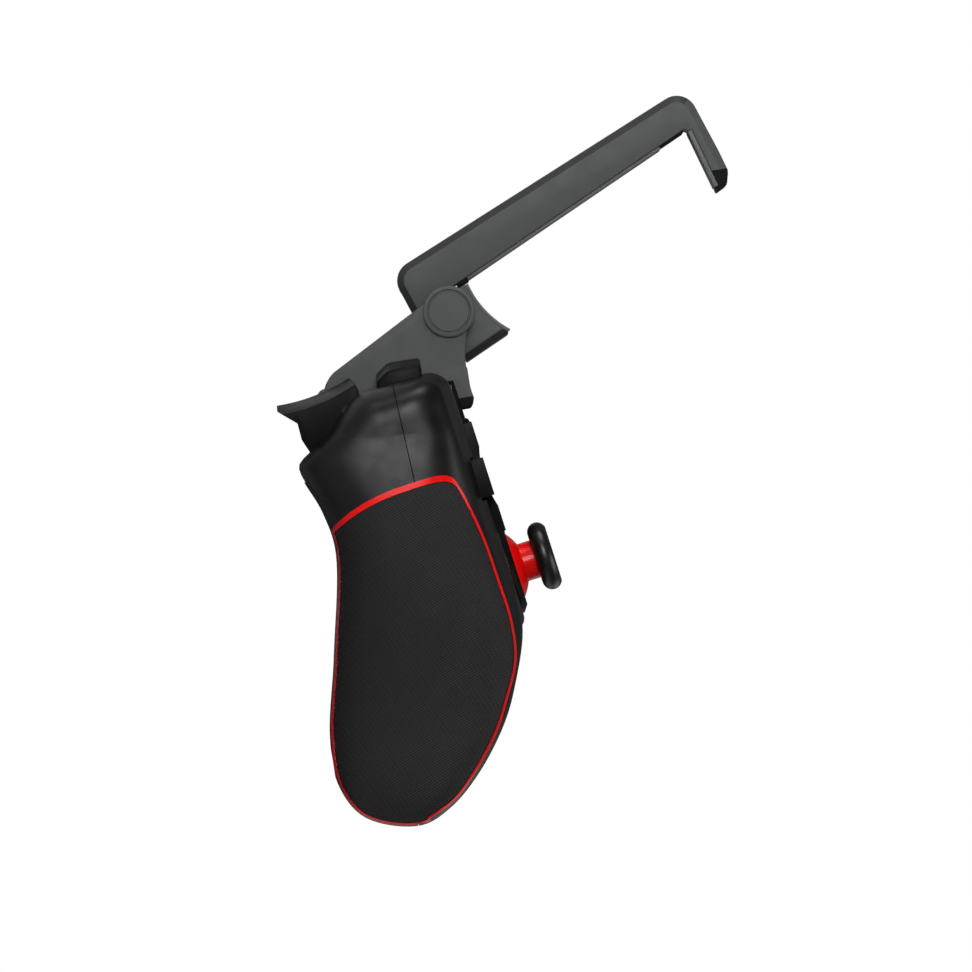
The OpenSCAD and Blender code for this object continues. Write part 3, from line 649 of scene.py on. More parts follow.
@dataclass(frozen=True)
class GripWeave:
    """Rubber with fine slanting ribs, each broken into short beads, as on the grip pads."""

    name: str
    colour: Colour
    ribs: Sequence[float] = (0.0, 0.915, -0.403)
    pitch: float = 0.62
    beads: Sequence[float] = (0.2, 0.45, 0.87)
    bead: float = 1.1
    bead_share: float = 0.4
    peak: float = 1.3
    relief: float = 0.14
    # Shares of the colour in the grooves and on the crests: painted shade and painted highlight that follow
    # the relief
    tints: Span = (0.5, 1.5)
    roughness: Span = (0.55, 0.68)
    gloss_size: float = 6.0
    grain: float = 0.35
    grain_relief: float = 0.01
    specular: float = 0.25

    def material(self) -> bpy.types.Material:
        """Wires the material and returns it."""
        bench = NodeBench(self.name)
        waves = []
        for turn, pitch in ((self.ribs, self.pitch), (self.beads, self.bead)):
            dot = bench.add("ShaderNodeVectorMath", operation="DOT_PRODUCT")
            dot.inputs[1].default_value = [c * 2 * math.pi / (pitch * MM) for c in turn]
            bench.link(bench.place, dot.inputs[0])
            wave = bench.add("ShaderNodeMath", operation="SINE")
            bench.link(dot.outputs["Value"], wave.inputs[0])
            waves.append(wave.outputs["Value"])
        mixed = bench.add("ShaderNodeMath", operation="MULTIPLY_ADD")
        mixed.inputs[1].default_value = self.bead_share
        bench.link(waves[1], mixed.inputs[0])
        bench.link(waves[0], mixed.inputs[2])
        relief = bench.span(mixed.outputs["Value"], 0.0, 1.0, (-self.peak, self.peak))
        # The colour follows the relief, as painted shade in the grooves and painted highlight on the crests
        bench.tint(relief, *[shaded(self.colour, share) for share in self.tints])
        bench.gloss(bench.noise(self.gloss_size, 3.0), *self.roughness)
        bench.shader.inputs["Specular IOR Level"].default_value = self.specular
        bench.bump([(relief, self.relief), (bench.noise(self.grain, 2.0), self.grain_relief)])
        return bench.material


@dataclass(frozen=True)
class Metal:
    """Plain turned or drawn metal with fine lines."""

    name: str
    colour: Colour
    roughness: float = 0.3
    line_size: float = 1.2
    line_run: Sequence[float] = (0.12, 1.0, 1.0)
    tints: Span = (0.88, 1.08)
    uneven: Span = (0.06, 0.08)
    relief: float = 0.01

    def material(self) -> bpy.types.Material:
        """Wires the material and returns it."""
        bench = NodeBench(self.name)
        bench.shader.inputs["Metallic"].default_value = 1.0
        lines = bench.noise(self.line_size, 4.0, self.line_run)
        bench.tint(bench.span(lines, 0.0, 1.0), *[shaded(self.colour, share) for share in self.tints])
        bench.gloss(lines, self.roughness - self.uneven[0], self.roughness + self.uneven[1])
        bench.bump([(lines, self.relief)])
        return bench.material


@dataclass(frozen=True)
class Board:
    """Printed board with traces under its lacquer."""

    name: str
    colour: Colour
    scale: float = 160.0
    field: float = 0.8
    trace: float = 1.7
    roughness: Span = (0.3, 0.42)
    relief: float = 0.03

    def material(self) -> bpy.types.Material:
        """Wires the material and returns it."""
        bench = NodeBench(self.name)
        bricks = bench.add("ShaderNodeTexBrick")
        bricks.inputs["Scale"].default_value = self.scale
        bricks.inputs["Color1"].default_value = (*self.colour, 1.0)
        bricks.inputs["Color2"].default_value = (*shaded(self.colour, self.field), 1.0)
        bricks.inputs["Mortar"].default_value = (*shaded(self.colour, self.trace), 1.0)
        bench.link(bench.place, bricks.inputs["Vector"])
        bench.link(bricks.outputs["Color"], bench.shader.inputs["Base Color"])
        bench.gloss(bench.noise(3.0), *self.roughness)
        bench.bump([(bricks.outputs["Fac"], self.relief)])
        return bench.material


FINISHES: dict[str, Moulded | GripWeave | Metal | Board] = {finish.name: finish for finish in (
    Moulded("shell_black", (0.0035, 0.0035, 0.0037), 0.37, grain=0.22, relief=0.005, specular=0.26),
    Moulded("gloss_black", (0.004, 0.004, 0.0042), 0.4, grain=0.5, relief=0.001, specular=0.07),
    GripWeave("grip_rubber", (0.012, 0.012, 0.012)),
    Moulded("trim_red", (0.78, 0.004, 0.004), 0.22, grain=0.4, relief=0.002, mottle=0.03, specular=0.2),
    Moulded("thumb_rubber", (0.006, 0.006, 0.006), 0.34, grain=0.2, relief=0.004, specular=0.4),
    Moulded("mount_grey", (0.06, 0.063, 0.064), 0.58, grain=0.3, relief=0.012, mottle=0.04, specular=0.4),
    Moulded("pad_grey", (0.11, 0.112, 0.115), 0.7, grain=0.4, relief=0.006),
    Moulded("liner_black", (0.005, 0.005, 0.005), 0.7, grain=0.4, relief=0.02, specular=0.12),
    Metal("steel", (0.56, 0.56, 0.58)),
    Metal("steel_black", (0.02, 0.02, 0.021), 0.5),
    Board("board_green", (0.015, 0.09, 0.035)),
    Moulded("inner_plastic", (0.25, 0.25, 0.26), 0.5),
    Moulded("film_clear", (0.55, 0.55, 0.56), 0.6, grain=0.5, relief=0.01),
    Metal("cell_foil", (0.5, 0.5, 0.52), 0.42),
    Moulded("light_white", (0.55, 0.56, 0.58), 0.35, grain=0.5, relief=0.004),
)}

# Pins that show at the triggers' ends are blackened
DARKER = {f"trigger_pin_{side.word}": "steel_black" for side in Side}


class Workshop:
    """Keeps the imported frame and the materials, and turns blanks into pieces."""

    def __init__(self) -> None:
        """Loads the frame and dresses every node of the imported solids."""
        self.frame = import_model()
        self.cad_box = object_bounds()
        self.materials = {slot: finish.material() for slot, finish in FINISHES.items()}
        self.slots = {part["node"]: part["material_slot"] for part in self.frame["record"]["subparts"]}
        self.bodies = {node: body for body, nodes in self.frame["record"]["behaviour"]["bodies"].items()
                       for node in nodes}
        for node, thing in self.frame["nodes"].items():
            thing.data.materials.clear()
            thing.data.materials.append(self.materials[DARKER.get(node, self.slots[node])])

    def piece(self, name: str, blank: Blank, node: str, slot: str = "", stands_in: bool = True,
              sharp: float = 34.0) -> bpy.types.Object:
        """Makes a blank a finished piece of the object.

        Args:
            name: Name of the piece.
            blank: Its solid, which is used up.
            node: Node that it stands for, or that carries it.
            slot: Material slot, if it isn't the node's.
            stands_in: Whether it replaces the node.
            sharp: Angle in degrees from which an edge stays sharp.

        Returns:
            The piece.
        """
        thing = blank.body
        thing.name = name
        thing.data.name = name
        thing.data.transform(Matrix.Scale(MM, 4))
        thing.data.polygons.foreach_set("use_smooth", [True] * len(thing.data.polygons))
        thing.data.set_sharp_from_angle(angle=math.radians(sharp))
        slot = slot or self.slots[node]
        thing.data.materials.clear()
        thing.data.materials.append(self.materials[slot])
        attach(thing, self.bodies[node])
        if stands_in:
            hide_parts(node)
        log.info("%s: %d faces on %s", name, len(thing.data.polygons), self.bodies[node])
        return thing

    def handed(self, name: str, blank: Blank, node: str, side: Side, sharp: float = 34.0) -> None:
        """Makes a blank a finished piece of one hand, whose word ends both names."""
        self.piece(f"{name}_{side.word}", blank, f"{node}_{side.word}", sharp=sharp)

    @staticmethod
    def polish(thing: bpy.types.Object, share: float, lean: Span = (0.66, 0.75), rise: float = 0.5) -> None:
        """Marks the chamfers of a piece for painted shade, which darkens their colour as if they lay in
        shade.

        Args:
            thing: The piece.
            share: How much painted shade they get, from 0 to 1.
            lean: Least and greatest share of X in a chamfer's normal.
            rise: Share of Z in the normal from which a chamfer faces up and isn't marked.
        """
        mark = thing.data.attributes.new(CHAMFER_SHADE_MARK, "FLOAT", "FACE")
        normals = [f.normal for f in thing.data.polygons]
        chamfers = [lean[0] < abs(n.x) < lean[1] and n.z < rise for n in normals]
        mark.data.foreach_set("value", [share if chamfer else 0.0 for chamfer in chamfers])


# The controller


@dataclass
class Mould:
    """The housing's form: two lofted grips, a flat middle and two stick lobes."""

    body_width: float = 156.0
    grip_reach: float = 85.2
    shoulder_y: float = 26.0
    seat_y: float = 22.4
    middle_bottom: float = -30.0
    face_height: float = 47.2
    face_tilt: float = math.radians(8.5)
    face_step: float = 0.3
    waist: float = 8.8
    middle_rise: float = 0.6
    middle_back: float = 12.5
    back_from: float = 10.0
    back_fall: float = 2.5
    middle_half: float = 42.0
    middle_round: float = 4.0
    seat_half: float = 31.5
    stick_x: float = 24.0
    stick_y: float = -25.2
    stick_lobe: float = 15.5
    lobe_round: float = 3.0
    hollow_round: float = 0.02
    lobe_depth: float = 9.0
    lobe_foot: Point = (14.0, 24.0)
    cluster_x: float = 48.0
    cluster_y: float = -2.0
    button_pitch: float = 10.6
    menu: Point = (14.0, 2.0)
    home_y: float = -11.0
    ridge_y: float = 16.4
    ridge_drop: float = 0.02
    mid: Span = (45.5, 58.5)
    inner: Span = (23.5, 14.0)
    powers: Span = (4.6, 2.4)
    narrowing: float = 15.0
    widest_at: float = 0.35
    spine_top: Point = (12.0, 26.0)
    spine_foot: Point = (19.0, 20.5)
    knot_steps: int = 24
    band: float = 2.75
    band_turns: Span = (10.0, 30.0)
    # Where the band grows flat towards the face and fades out before the heel, and over what share
    band_front: Span = (0.5, 0.35)
    band_heel: Span = (0.9, 0.25)

    def face_z(self, y: float) -> float:
        """Height of the face at a place along Y."""
        return self.face_height - y * math.tan(self.face_tilt)

    def on_face(self, x: float, y: float, height: float = 0.0) -> Matrix:
        """Gives a frame at a height over the face, with Z out of it."""
        turn = Matrix.Rotation(-self.face_tilt, 4, "X")
        return Matrix.Translation((x, y, self.face_z(y))) @ turn @ Matrix.Translation((0.0, 0.0, height))

    def at_stick(self, side: Side, height: float = 0.0) -> Matrix:
        """Gives the frame of one hand's stick at a height over the face."""
        return self.on_face(side.value * self.stick_x, self.stick_y, height)

    def at_cluster(self, side: Side, height: float = 0.0) -> Matrix:
        """Gives the frame of one hand's pad or buttons at a height over the face."""
        return self.on_face(side.value * self.cluster_x, self.cluster_y, height)

    def at_menu(self, side: Side) -> Matrix:
        """Gives the frame of one hand's menu button."""
        return self.on_face(side.value * self.menu[0], self.menu[1])

    def knots(self) -> list[Point]:
        """Knots of a grip's side outline: down the front, round the heel and up the back."""
        top, reach, face = self.shoulder_y, -self.grip_reach, self.face_z
        return [(top, 35), (top + 0.1, 39.5), (top - 1.3, 42.15), (22.9, face(22.9) - 0.28),
                (21.2, face(21.2)), (16, face(16)), (-8, face(-8)), (-30, face(-30)),
                (-41, face(-41) - 1.4), (-54, 48), (reach + 22, 43.8), (reach + 11, 35.8),
                (reach + 3.3, 27.2), (reach, 19), (reach + 4.2, 5.5), (reach + 13, 0.3),
                (reach + 25, 0), (-40, 4.2), (-14, self.waist), (-4, self.waist - 1.7), (8.2, 2.9),
                (10.9, 5.7), (14.9, 11.4), (19.5, 15.6), (top - 2.4, 20.4), (top - 1.2, 27)]

    def spine(self) -> tuple[Vector, Vector]:
        """Gives both ends of the line inside a grip that its rounded sides rise from."""
        return Vector(self.spine_top), Vector((self.spine_foot[0] - self.grip_reach, self.spine_foot[1]))

    def grip_mid(self, y: float) -> float:
        """Place along X of a grip's middle plane."""
        top, foot = self.spine_top[0], self.spine_foot[0]
        return self.mid[0] + (self.mid[1] - self.mid[0]) * (y - top) / (-self.grip_reach + foot - top)

    def on_spine(self, knot: Vector) -> tuple[float, Vector]:
        """Finds the point of the grip's inner line next to a point of its outline.

        Args:
            knot: Point of the side outline.

        Returns:
            The place along the line, from 0 to 1, and the point.
        """
        top, end = self.spine()
        line = end - top
        share = min(1.0, max(0.0, (knot - top).dot(line) / line.length_squared))
        return share, top + line * share

    def section(self, knot: Vector, angle: float, inset: float) -> Vector:
        """Gives a point of a grip's plain rounded side.

        Args:
            knot: Point of the side outline.
            angle: How far the point lies round the side, from -90 to 90 degrees.
            inset: How far the form is shrunk.

        Returns:
            The point.
        """
        share, spine = self.on_spine(knot)
        power, turn, away = self.power(share), math.radians(angle), knot - spine
        out = max(0.0, math.cos(turn)) ** (2 / power)
        spot = spine + away * (1 - inset / away.length) * out
        middle = self.grip_mid(spot.x)
        reach = inset - self.inner[0] - (self.inner[1] - self.inner[0]) * share
        if angle >= 0:
            middle += (self.grip_mid(spine.x) - middle) * (1 - out ** 2)
            reach = self.side_x(share) - self.grip_mid(spine.x) - inset
        return Vector((middle + reach * abs(math.sin(turn)) ** (2 / power), spot.x, spot.y))

    def side_x(self, share: float) -> float:
        """Gives the outermost X at a place along the grip's inner line, level again at the heel."""
        past = (share - self.widest_at) / (1 - self.widest_at)
        fall = self.narrowing * (1 - self.widest_at) ** 2
        drop = (1 - math.cos(math.pi * past)) / 2 if past > 0 else past ** 2
        return self.body_width / 2 - fall * drop

    def power(self, share: float) -> float:
        """Gives how square the section is at a place along the grip's inner line."""
        top, low = self.powers
        return top + (low - top) * math.sin(math.pi / 2 * min(1.0, 2 * share))

    def flatness(self, share: float, away: Vector) -> float:
        """Gives how flat the band along the face's edge is: not at the heel, nor on the back.

        Args:
            share: Place along the grip's inner line.
            away: Way from there to the outline.

        Returns:
            A share from 0 to 1.
        """
        front = away.normalized().dot(Vector((math.sin(self.face_tilt), math.cos(self.face_tilt))))
        (start, run), (end, fade) = self.band_front, self.band_heel
        return min(1.0, max(0.0, (front - start) / run)) * min(1.0, max(0.0, (end - share) / fade))

    def grip_point(self, knot: Vector, angle: float, inset: float) -> Vector:
        """Gives a point of a grip's side with the flat band along the face's edge.

        Args:
            knot: Point of the side outline.
            angle: Which ring the point is on, from -90 to 90.
            inset: How far the form is shrunk.

        Returns:
            The point.
        """
        if angle <= 0:
            return self.section(knot, angle, inset)
        share, spine = self.on_spine(knot)
        away = knot - spine
        crease = math.degrees(math.acos((1 - self.band / away.length) ** (self.power(share) / 2)))
        low, high = self.band_turns
        if angle <= low or angle >= high:
            turn = angle if angle <= low else crease + (90 - crease) * (angle - high) / (90 - high)
            return self.section(knot, turn, inset)
        along = (angle - low) / (high - low)
        curve = self.section(knot, low + (crease - low) * along, inset)
        chord = self.section(knot, low, inset).lerp(self.section(knot, crease, inset), along)
        return curve.lerp(chord, self.flatness(share, away))

    def outline(self, along: int, fan: int) -> list[Vector]:
        """Samples a grip's side outline from its inner line, so that its halves stand opposite each other.

        Args:
            along: Points on each long side.
            fan: Points round each end.

        Returns:
            The points: up the front, over the top, down the back and round the heel.
        """
        dense = smooth_curve(self.knots(), self.knot_steps)
        top, end = self.spine()
        line = (end - top).normalized()
        front = Vector((line.y, -line.x))
        rays = [(end.lerp(top, j / along), front) for j in range(along + 1)]
        rays += [(top, front * math.cos(a) - line * math.sin(a)) for a in
                 (math.pi * j / fan for j in range(1, fan))]
        rays += [(top.lerp(end, j / along), -front) for j in range(along + 1)]
        rays += [(end, line * math.sin(a) - front * math.cos(a)) for a in
                 (math.pi * j / fan for j in range(1, fan))]
        return [self.hit(start, way, dense) for start, way in rays]

    @staticmethod
    def hit(start: Vector, way: Vector, ring: Sequence[Vector]) -> Vector:
        """Finds where a ray leaves a closed line.

        Args:
            start: Start of the ray.
            way: Its direction.
            ring: Points of the closed line.

        Returns:
            The point on the line.
        """
        crossings = (intersect_line_line_2d(start, start + way * FAR, ring[i - 1], ring[i])
                     for i in range(len(ring)))
        return min((c for c in crossings if c is not None), key=lambda c: (c - start).length)

    def grip(self, inset: float, along: int = 64, fan: int = 40, strips: int = 54) -> Blank:
        """Lofts the right-hand grip ring by ring.

        Args:
            inset: How far the form is shrunk.
            along: Points on each long side of the outline.
            fan: Points round each end of the outline.
            strips: Strips from the inner to the outer side.

        Returns:
            The grip.
        """
        outline = self.outline(along, fan)
        turns = [90.0 * (2 * k / strips - 1) for k in range(strips + 1)]
        # The first and the last ring lie on the inner line, where their two halves meet
        return loft([[self.grip_point(p, turn, inset) for p in outline] for turn in turns], capped=False)

    def middle(self, inset: float) -> Blank:
        """Makes the flat middle between the grips.

        Args:
            inset: How far the form is shrunk.

        Returns:
            The middle.
        """
        top, low = self.seat_y + self.middle_rise, self.middle_bottom
        corners = [(top, self.middle_back), (top, self.face_z(top) - self.face_step),
                   (low, self.face_z(low) - self.face_step), (low, self.middle_back - self.back_fall),
                   (self.back_from, self.middle_back)]
        outline = inset_outline([Vector(c) for c in corners], inset)
        blank = prism(outline, (-self.middle_half, self.middle_half))
        if inset:
            return blank
        back, drop = self.middle_back, self.ridge_drop
        ridge = [(self.seat_y, back), (self.seat_y, self.face_z(self.seat_y) - drop),
                 (self.ridge_y, self.face_z(self.ridge_y) - drop), (self.ridge_y, back)]
        return blank.soften(self.middle_round, 6, 40.0).add(prism(ridge, (-self.seat_half, self.seat_half)))

    def lobes(self, inset: float) -> list[Blank]:
        """Makes the two round bowls that hold the sticks.

        Args:
            inset: How far the form is shrunk.

        Returns:
            The solids of both bowls.
        """
        made = []
        for side in Side:
            place, low = self.at_stick(side), -self.lobe_depth
            wide, edge = self.stick_lobe - inset, self.hollow_round if inset else self.lobe_round
            rim = arc((wide - edge, -inset - edge), edge, 0, 90, 8)
            made.append(lathe([(0.0, low), (wide, low), *rim, (0.0, -inset)], place))
            foot, depth = self.lobe_foot
            made.append(rod(foot - inset, (inset - depth, low + OVERLAP), place, 2 * wide))
        return made

    def solid(self, inset: float) -> Blank:
        """Joins grips, middle and lobes, shrunk by an inset."""
        right = self.grip(inset, 24, 10, 14) if inset else self.grip(0.0)
        return right.add(right.mirrored(), self.middle(inset), *self.lobes(inset))


@dataclass
class Housing:
    """Front and rear shell, grip pads and red trims."""

    shop: Workshop
    mould: Mould
    wall: float = 2.6
    seam_height: float = 31.3
    seam_falls: Span = (0.063, -0.15)
    seam_gap: float = 0.22
    pad_thickness: float = 1.2
    trim_top: float = 1.5
    trim_width: float = 0.6
    pad_edge: float = 3.0
    pad_gap: float = 0.12
    edge_inset: float = 0.35
    edge_steps: int = 16
    limit_steps: int = 6
    trim_rise: float = 0.1
    trim_cut: float = 2.0
    cut_clear: float = 1.0
    well_x: Span = (32.0, 61.6)
    well_wall: float = 1.6
    well_floor: float = 4.0
    well_front: float = 21.6
    bumper_x: Span = (32.1, 61.5)
    bumper_z: Span = (25.3, 37.7)
    slot_back: float = 16.5
    socket: Span = (9.2, 3.5)
    socket_z: float = 29.0
    socket_room: tuple[Span, Span, Span] = ((-9.0, 9.0), (-FAR, -15.0), (20.0, 40.0))
    under_y: float = 12.5
    under_gap: float = 0.05
    stick_mouth: Span = (25.1, 20.6)
    mouth_z: Span = (-4.0, 0.3)
    cross_hole: Span = (30.0, 11.2)
    cross_room: float = 60.0
    cross_depth: float = 12.0
    button_hole: float = 11.4
    menu_hole: Span = (9.8, 4.8)
    home_hole: float = 9.8
    menu_depth: float = 10.0
    lights: int = 4
    light_half: Span = (0.65, 1.25)
    light_pitch: float = 5.0
    light_y: float = -24.0
    light_z: Span = (-4.0, 1.0)
    # Each right-hand screw's x and y, with the depths of its seat and of its post
    screws: tuple[tuple[float, float, float, float], ...] = ((16, 12, 29, 14.6), (42, -31, 34, 14.6),
                                                             (60, -58, 44, 35))
    screw_post: float = 6.4
    screw_head: float = 5.4
    screw_bore: float = 2.3
    bore_ends: Span = (-1.0, 9.0)
    deck_width: float = 37.0
    deck_thickness: float = 3.2
    board_depth: float = 13.0

    def seam(self, y: float) -> float:
        """Height of the parting seam at a place along Y."""
        return self.seam_height - y * self.seam_falls[0 if y > 0 else 1]

    def half_space(self, front: bool) -> Blank:
        """Gives everything on one side of the seam.

        Args:
            front: Whether it is the face's side.

        Returns:
            The space.
        """
        drop = 0.0 if front else self.seam_gap
        end = FAR if front else -FAR
        line = [(y, self.seam(y) - drop) for y in (FAR, 0.0, -FAR)]
        return prism([*line, (-FAR, end), (FAR, end)], (-FAR, FAR))

    def pad_limit(self) -> list[Vector]:
        """The line over the pad's top and down its front to the heel, open to the back."""
        knots = [(-10, 6), (-8, 9.4), (-5.2, 14), (-2.4, 21), (-0.4, 30.5), (0.25, 38.2), (-0.7, 40.6),
                 (-3.6, 42.2), (-16, 46.0), (-28, 48.2), (-38.3, 49.7), (-48.3, 49.2), (-58, 45.2),
                 (-62.6, 43), (-67.2, 40.2), (-76.2, 32.9), (-80.5, 28.2), (-84.4, 20.3), (-88, 12)]
        curve = smooth_curve(knots, self.limit_steps, closed=False)
        ends = [(-FAR, -20), (-FAR, -FAR), (-14, -FAR)]
        return [Vector((-14, 4)), Vector((-10, 7.4)), *curve, *[Vector(e) for e in ends]]

    def layer(self, inset: float, top: float, outer: float, depth: float) -> Blank:
        """Makes the right-hand outer skin of a grip inside the pad's line.

        Args:
            inset: Distance from the pad recess's edge.
            top: Distance from its upper edge.
            outer: How far the skin's outside lies in the grip.
            depth: How far its inside lies in the grip.

        Returns:
            The skin.
        """
        ring = inset_outline(smooth_curve(self.mould.knots(), self.edge_steps), self.edge_inset + inset)
        limit = inset_outline(self.pad_limit(), inset)
        shifted = [p - Vector((top, 0.0)) for p in self.pad_limit()]
        mid, edge = self.mould.grip_mid, self.pad_edge + inset
        side = plate([(mid(FAR) + edge, FAR), (mid(-FAR) + edge, -FAR), (FAR, -FAR), (FAR, FAR)], (-FAR, FAR),
                     Matrix())
        skin = self.mould.grip(outer)
        skin.keep(prism(ring, (0.0, FAR)), prism(limit, (0.0, FAR)), prism(shifted, (0.0, FAR)), side)
        return skin.take(self.mould.grip(depth))

    def wells(self, grow: float) -> list[Blank]:
        """Makes the pockets behind the triggers.

        Args:
            grow: Wall added round each pocket.

        Returns:
            The pockets of both sides.
        """
        pocket = box((self.well_x[0] - grow, self.well_x[1] + grow), (self.well_floor - grow, FAR),
                     (-FAR, self.well_front + grow))
        return [pocket, pocket.mirrored()]

    def outside_cuts(self) -> list[Blank]:
        """Makes what both shells lose: the pads' recess, the saddle's seat, slots and socket."""
        recess = self.layer(0.0, 0.0, -self.cut_clear, self.pad_thickness)
        slot = box(self.bumper_x, (self.slot_back, FAR), self.bumper_z)
        lower = Matrix.Translation((0.0, 0.0, self.socket_z)) @ Matrix.Rotation(math.radians(-90), 4, "X")
        socket = plate(pill(*self.socket), (-FAR, FAR), lower)
        socket.keep(box(*self.socket_room))
        across = (-self.mould.seat_half, self.mould.seat_half)
        seat = box(across, (self.mould.seat_y, FAR), (-FAR, FAR))
        under = box(across, (self.under_y, FAR), (-FAR, self.mould.middle_back - self.under_gap))
        return [recess, recess.mirrored(), slot, slot.mirrored(), seat, under, socket]

    def at_screws(self) -> list[tuple[Matrix, float, float]]:
        """Gives each screw's frame on the face, with the heights of its seat and of its post."""
        return [(self.mould.on_face(side.value * x, y), -seat, -post) for side in Side
                for x, y, seat, post in self.screws]

    def build_shells(self) -> None:
        """Moulds both shells and cuts their openings."""
        mould, shop = self.mould, self.shop
        front = mould.solid(0.0).take(*self.outside_cuts())
        rear = front.copy()
        decks = [rod(self.deck_width, (-self.deck_thickness, FAR), mould.at_cluster(side)) for side in Side]
        hollow = mould.solid(self.wall)
        posts = [rod(self.screw_post, (-FAR, post), place) for place, _, post in self.at_screws()]
        rear_hollow = hollow.copy().take(*self.wells(self.well_wall), *posts)
        front.take(hollow.take(*decks)).keep(self.half_space(True)).take(*self.wells(0.0), *self.face_holes())
        bores = [rod(self.screw_head, (-FAR, seat), place) for place, seat, _ in self.at_screws()]
        low, high = self.bore_ends
        bores += [rod(self.screw_bore, (seat + low, post + high), place)
                  for place, seat, post in self.at_screws()]
        rear.take(rear_hollow).keep(self.half_space(False)).take(*self.wells(0.0), *bores)
        shop.piece("shell_front", front, "front_shell")
        shop.piece("shell_rear", rear, "rear_shell")

    def face_holes(self) -> list[Blank]:
        """Makes the openings for the pad, the buttons, the lights and the sticks."""
        mould = self.mould
        cut: list[Blank] = []
        for side in Side:
            deck = (-self.board_depth, -self.deck_thickness)
            cut.append(rod(self.deck_width, deck, mould.at_cluster(side)))
            cut.append(rod(self.stick_mouth[0], self.mouth_z, mould.at_stick(side), self.stick_mouth[1]))
            cut.append(plate(pill(*self.menu_hole), (-self.menu_depth, FAR), mould.at_menu(side)))
        cross = mould.at_cluster(Side.LEFT)
        cut.append(plate(FaceControls.cross(*self.cross_hole), (-FAR, FAR), cross).keep(
            rod(self.cross_room, (-self.cross_depth, FAR), cross)))
        cut += [rod(self.button_hole, (-self.board_depth, FAR), place)
                for place in FaceControls.button_places(mould)]
        cut.append(rod(self.home_hole, (-self.menu_depth, FAR), mould.on_face(0.0, mould.home_y)))
        wide, high = self.light_half
        for i in range(self.lights):
            place = mould.on_face((i - (self.lights - 1) / 2) * self.light_pitch, self.light_y)
            cut.append(box((-wide, wide), (-high, high), self.light_z, place))
        return cut

    def build_grips(self, side: Side) -> None:
        """Makes the pad and the red trim of one grip.

        Args:
            side: Which hand's grip.
        """
        pad = self.layer(self.trim_width + self.pad_gap, self.trim_top, 0.0, self.pad_thickness)
        self.shop.handed("grip_cover", pad.on(side), "grip_pad", side)
        trim = self.layer(0.0, 0.0, -self.trim_rise, self.pad_thickness)
        trim.take(self.layer(self.trim_width, self.trim_top, -self.cut_clear, self.trim_cut))
        self.shop.handed("grip_line", trim.on(side), "grip_trim", side)


@dataclass
class Shoulder:
    """Trigger and bumper of one hand."""

    shop: Workshop
    side: Side
    inner: float = 32.5
    width: float = 28.6
    pin: Point = (20.0, 17.2)
    barrel: float = 5.6
    bore: float = 2.5
    face_centre: Point = (70.2, 0.3)
    face_radius: float = 46.0
    slope: float = 2.6
    blade_round: float = 0.7
    cap_round: float = 0.9
    top: float = 30.4
    fall: float = 2.0
    skirt: float = 19.5
    bumper_z: Span = (25.7, 37.3)
    back_slope: Span = (3.4, 2.5)

    def build_trigger(self) -> None:
        """Makes the trigger with its hollowed face, side web, flared tip and barrel."""
        outline = [(28.4, 18.6), (27, 20), (24.6, 20.9), (19.4, 20), (17.2, 17), (12.6, 13), (9.8, 9),
                   (10.6, 6.8), (14.6, 5), (18.8, 4.6), (22.6, 0), (24.4, 0), (26, 6), (28.4, 12)]
        across = (self.inner, self.inner + self.width)
        blade = prism(outline, across)
        lean = Matrix.Identity(4)
        lean[1][0] = -self.slope / self.width
        lean[1][3] = self.slope * self.inner / self.width
        hollow = rod(2 * self.face_radius, (0.0, FAR / 2), lean @ crosswise(self.face_centre), facets=220)
        blade.take(hollow).soften(self.blade_round, 4, 24.0)
        pin = crosswise(self.pin)
        blade.add(rod(self.barrel, across, pin)).take(rod(self.bore, (0.0, FAR / 2), pin))
        self.shop.handed("trigger_blade", blade.on(self.side), "trigger", self.side)

    def build_bumper(self) -> None:
        """Makes the bumper with its falling top, slanting back end and rounded edges."""
        cap = box((self.inner, self.inner + self.width), (self.skirt, self.top), self.bumper_z)
        fall = Matrix.Rotation(-math.atan(self.fall / self.width), 4, "Z")
        slant = Matrix.Translation((self.inner, self.top, 0.0)) @ fall
        run, drop = self.back_slope
        back = Matrix.Rotation(-math.atan(drop / run), 4, "X")
        end = slant @ Matrix.Translation((0.0, -drop, self.bumper_z[0])) @ back
        cap.take(*[box((-FAR, FAR), (0.0, FAR), (-FAR, FAR), place) for place in (slant, end)])
        cap.soften(self.cap_round, 4)
        self.shop.handed("bumper_cap", cap.on(self.side), "bumper", self.side)


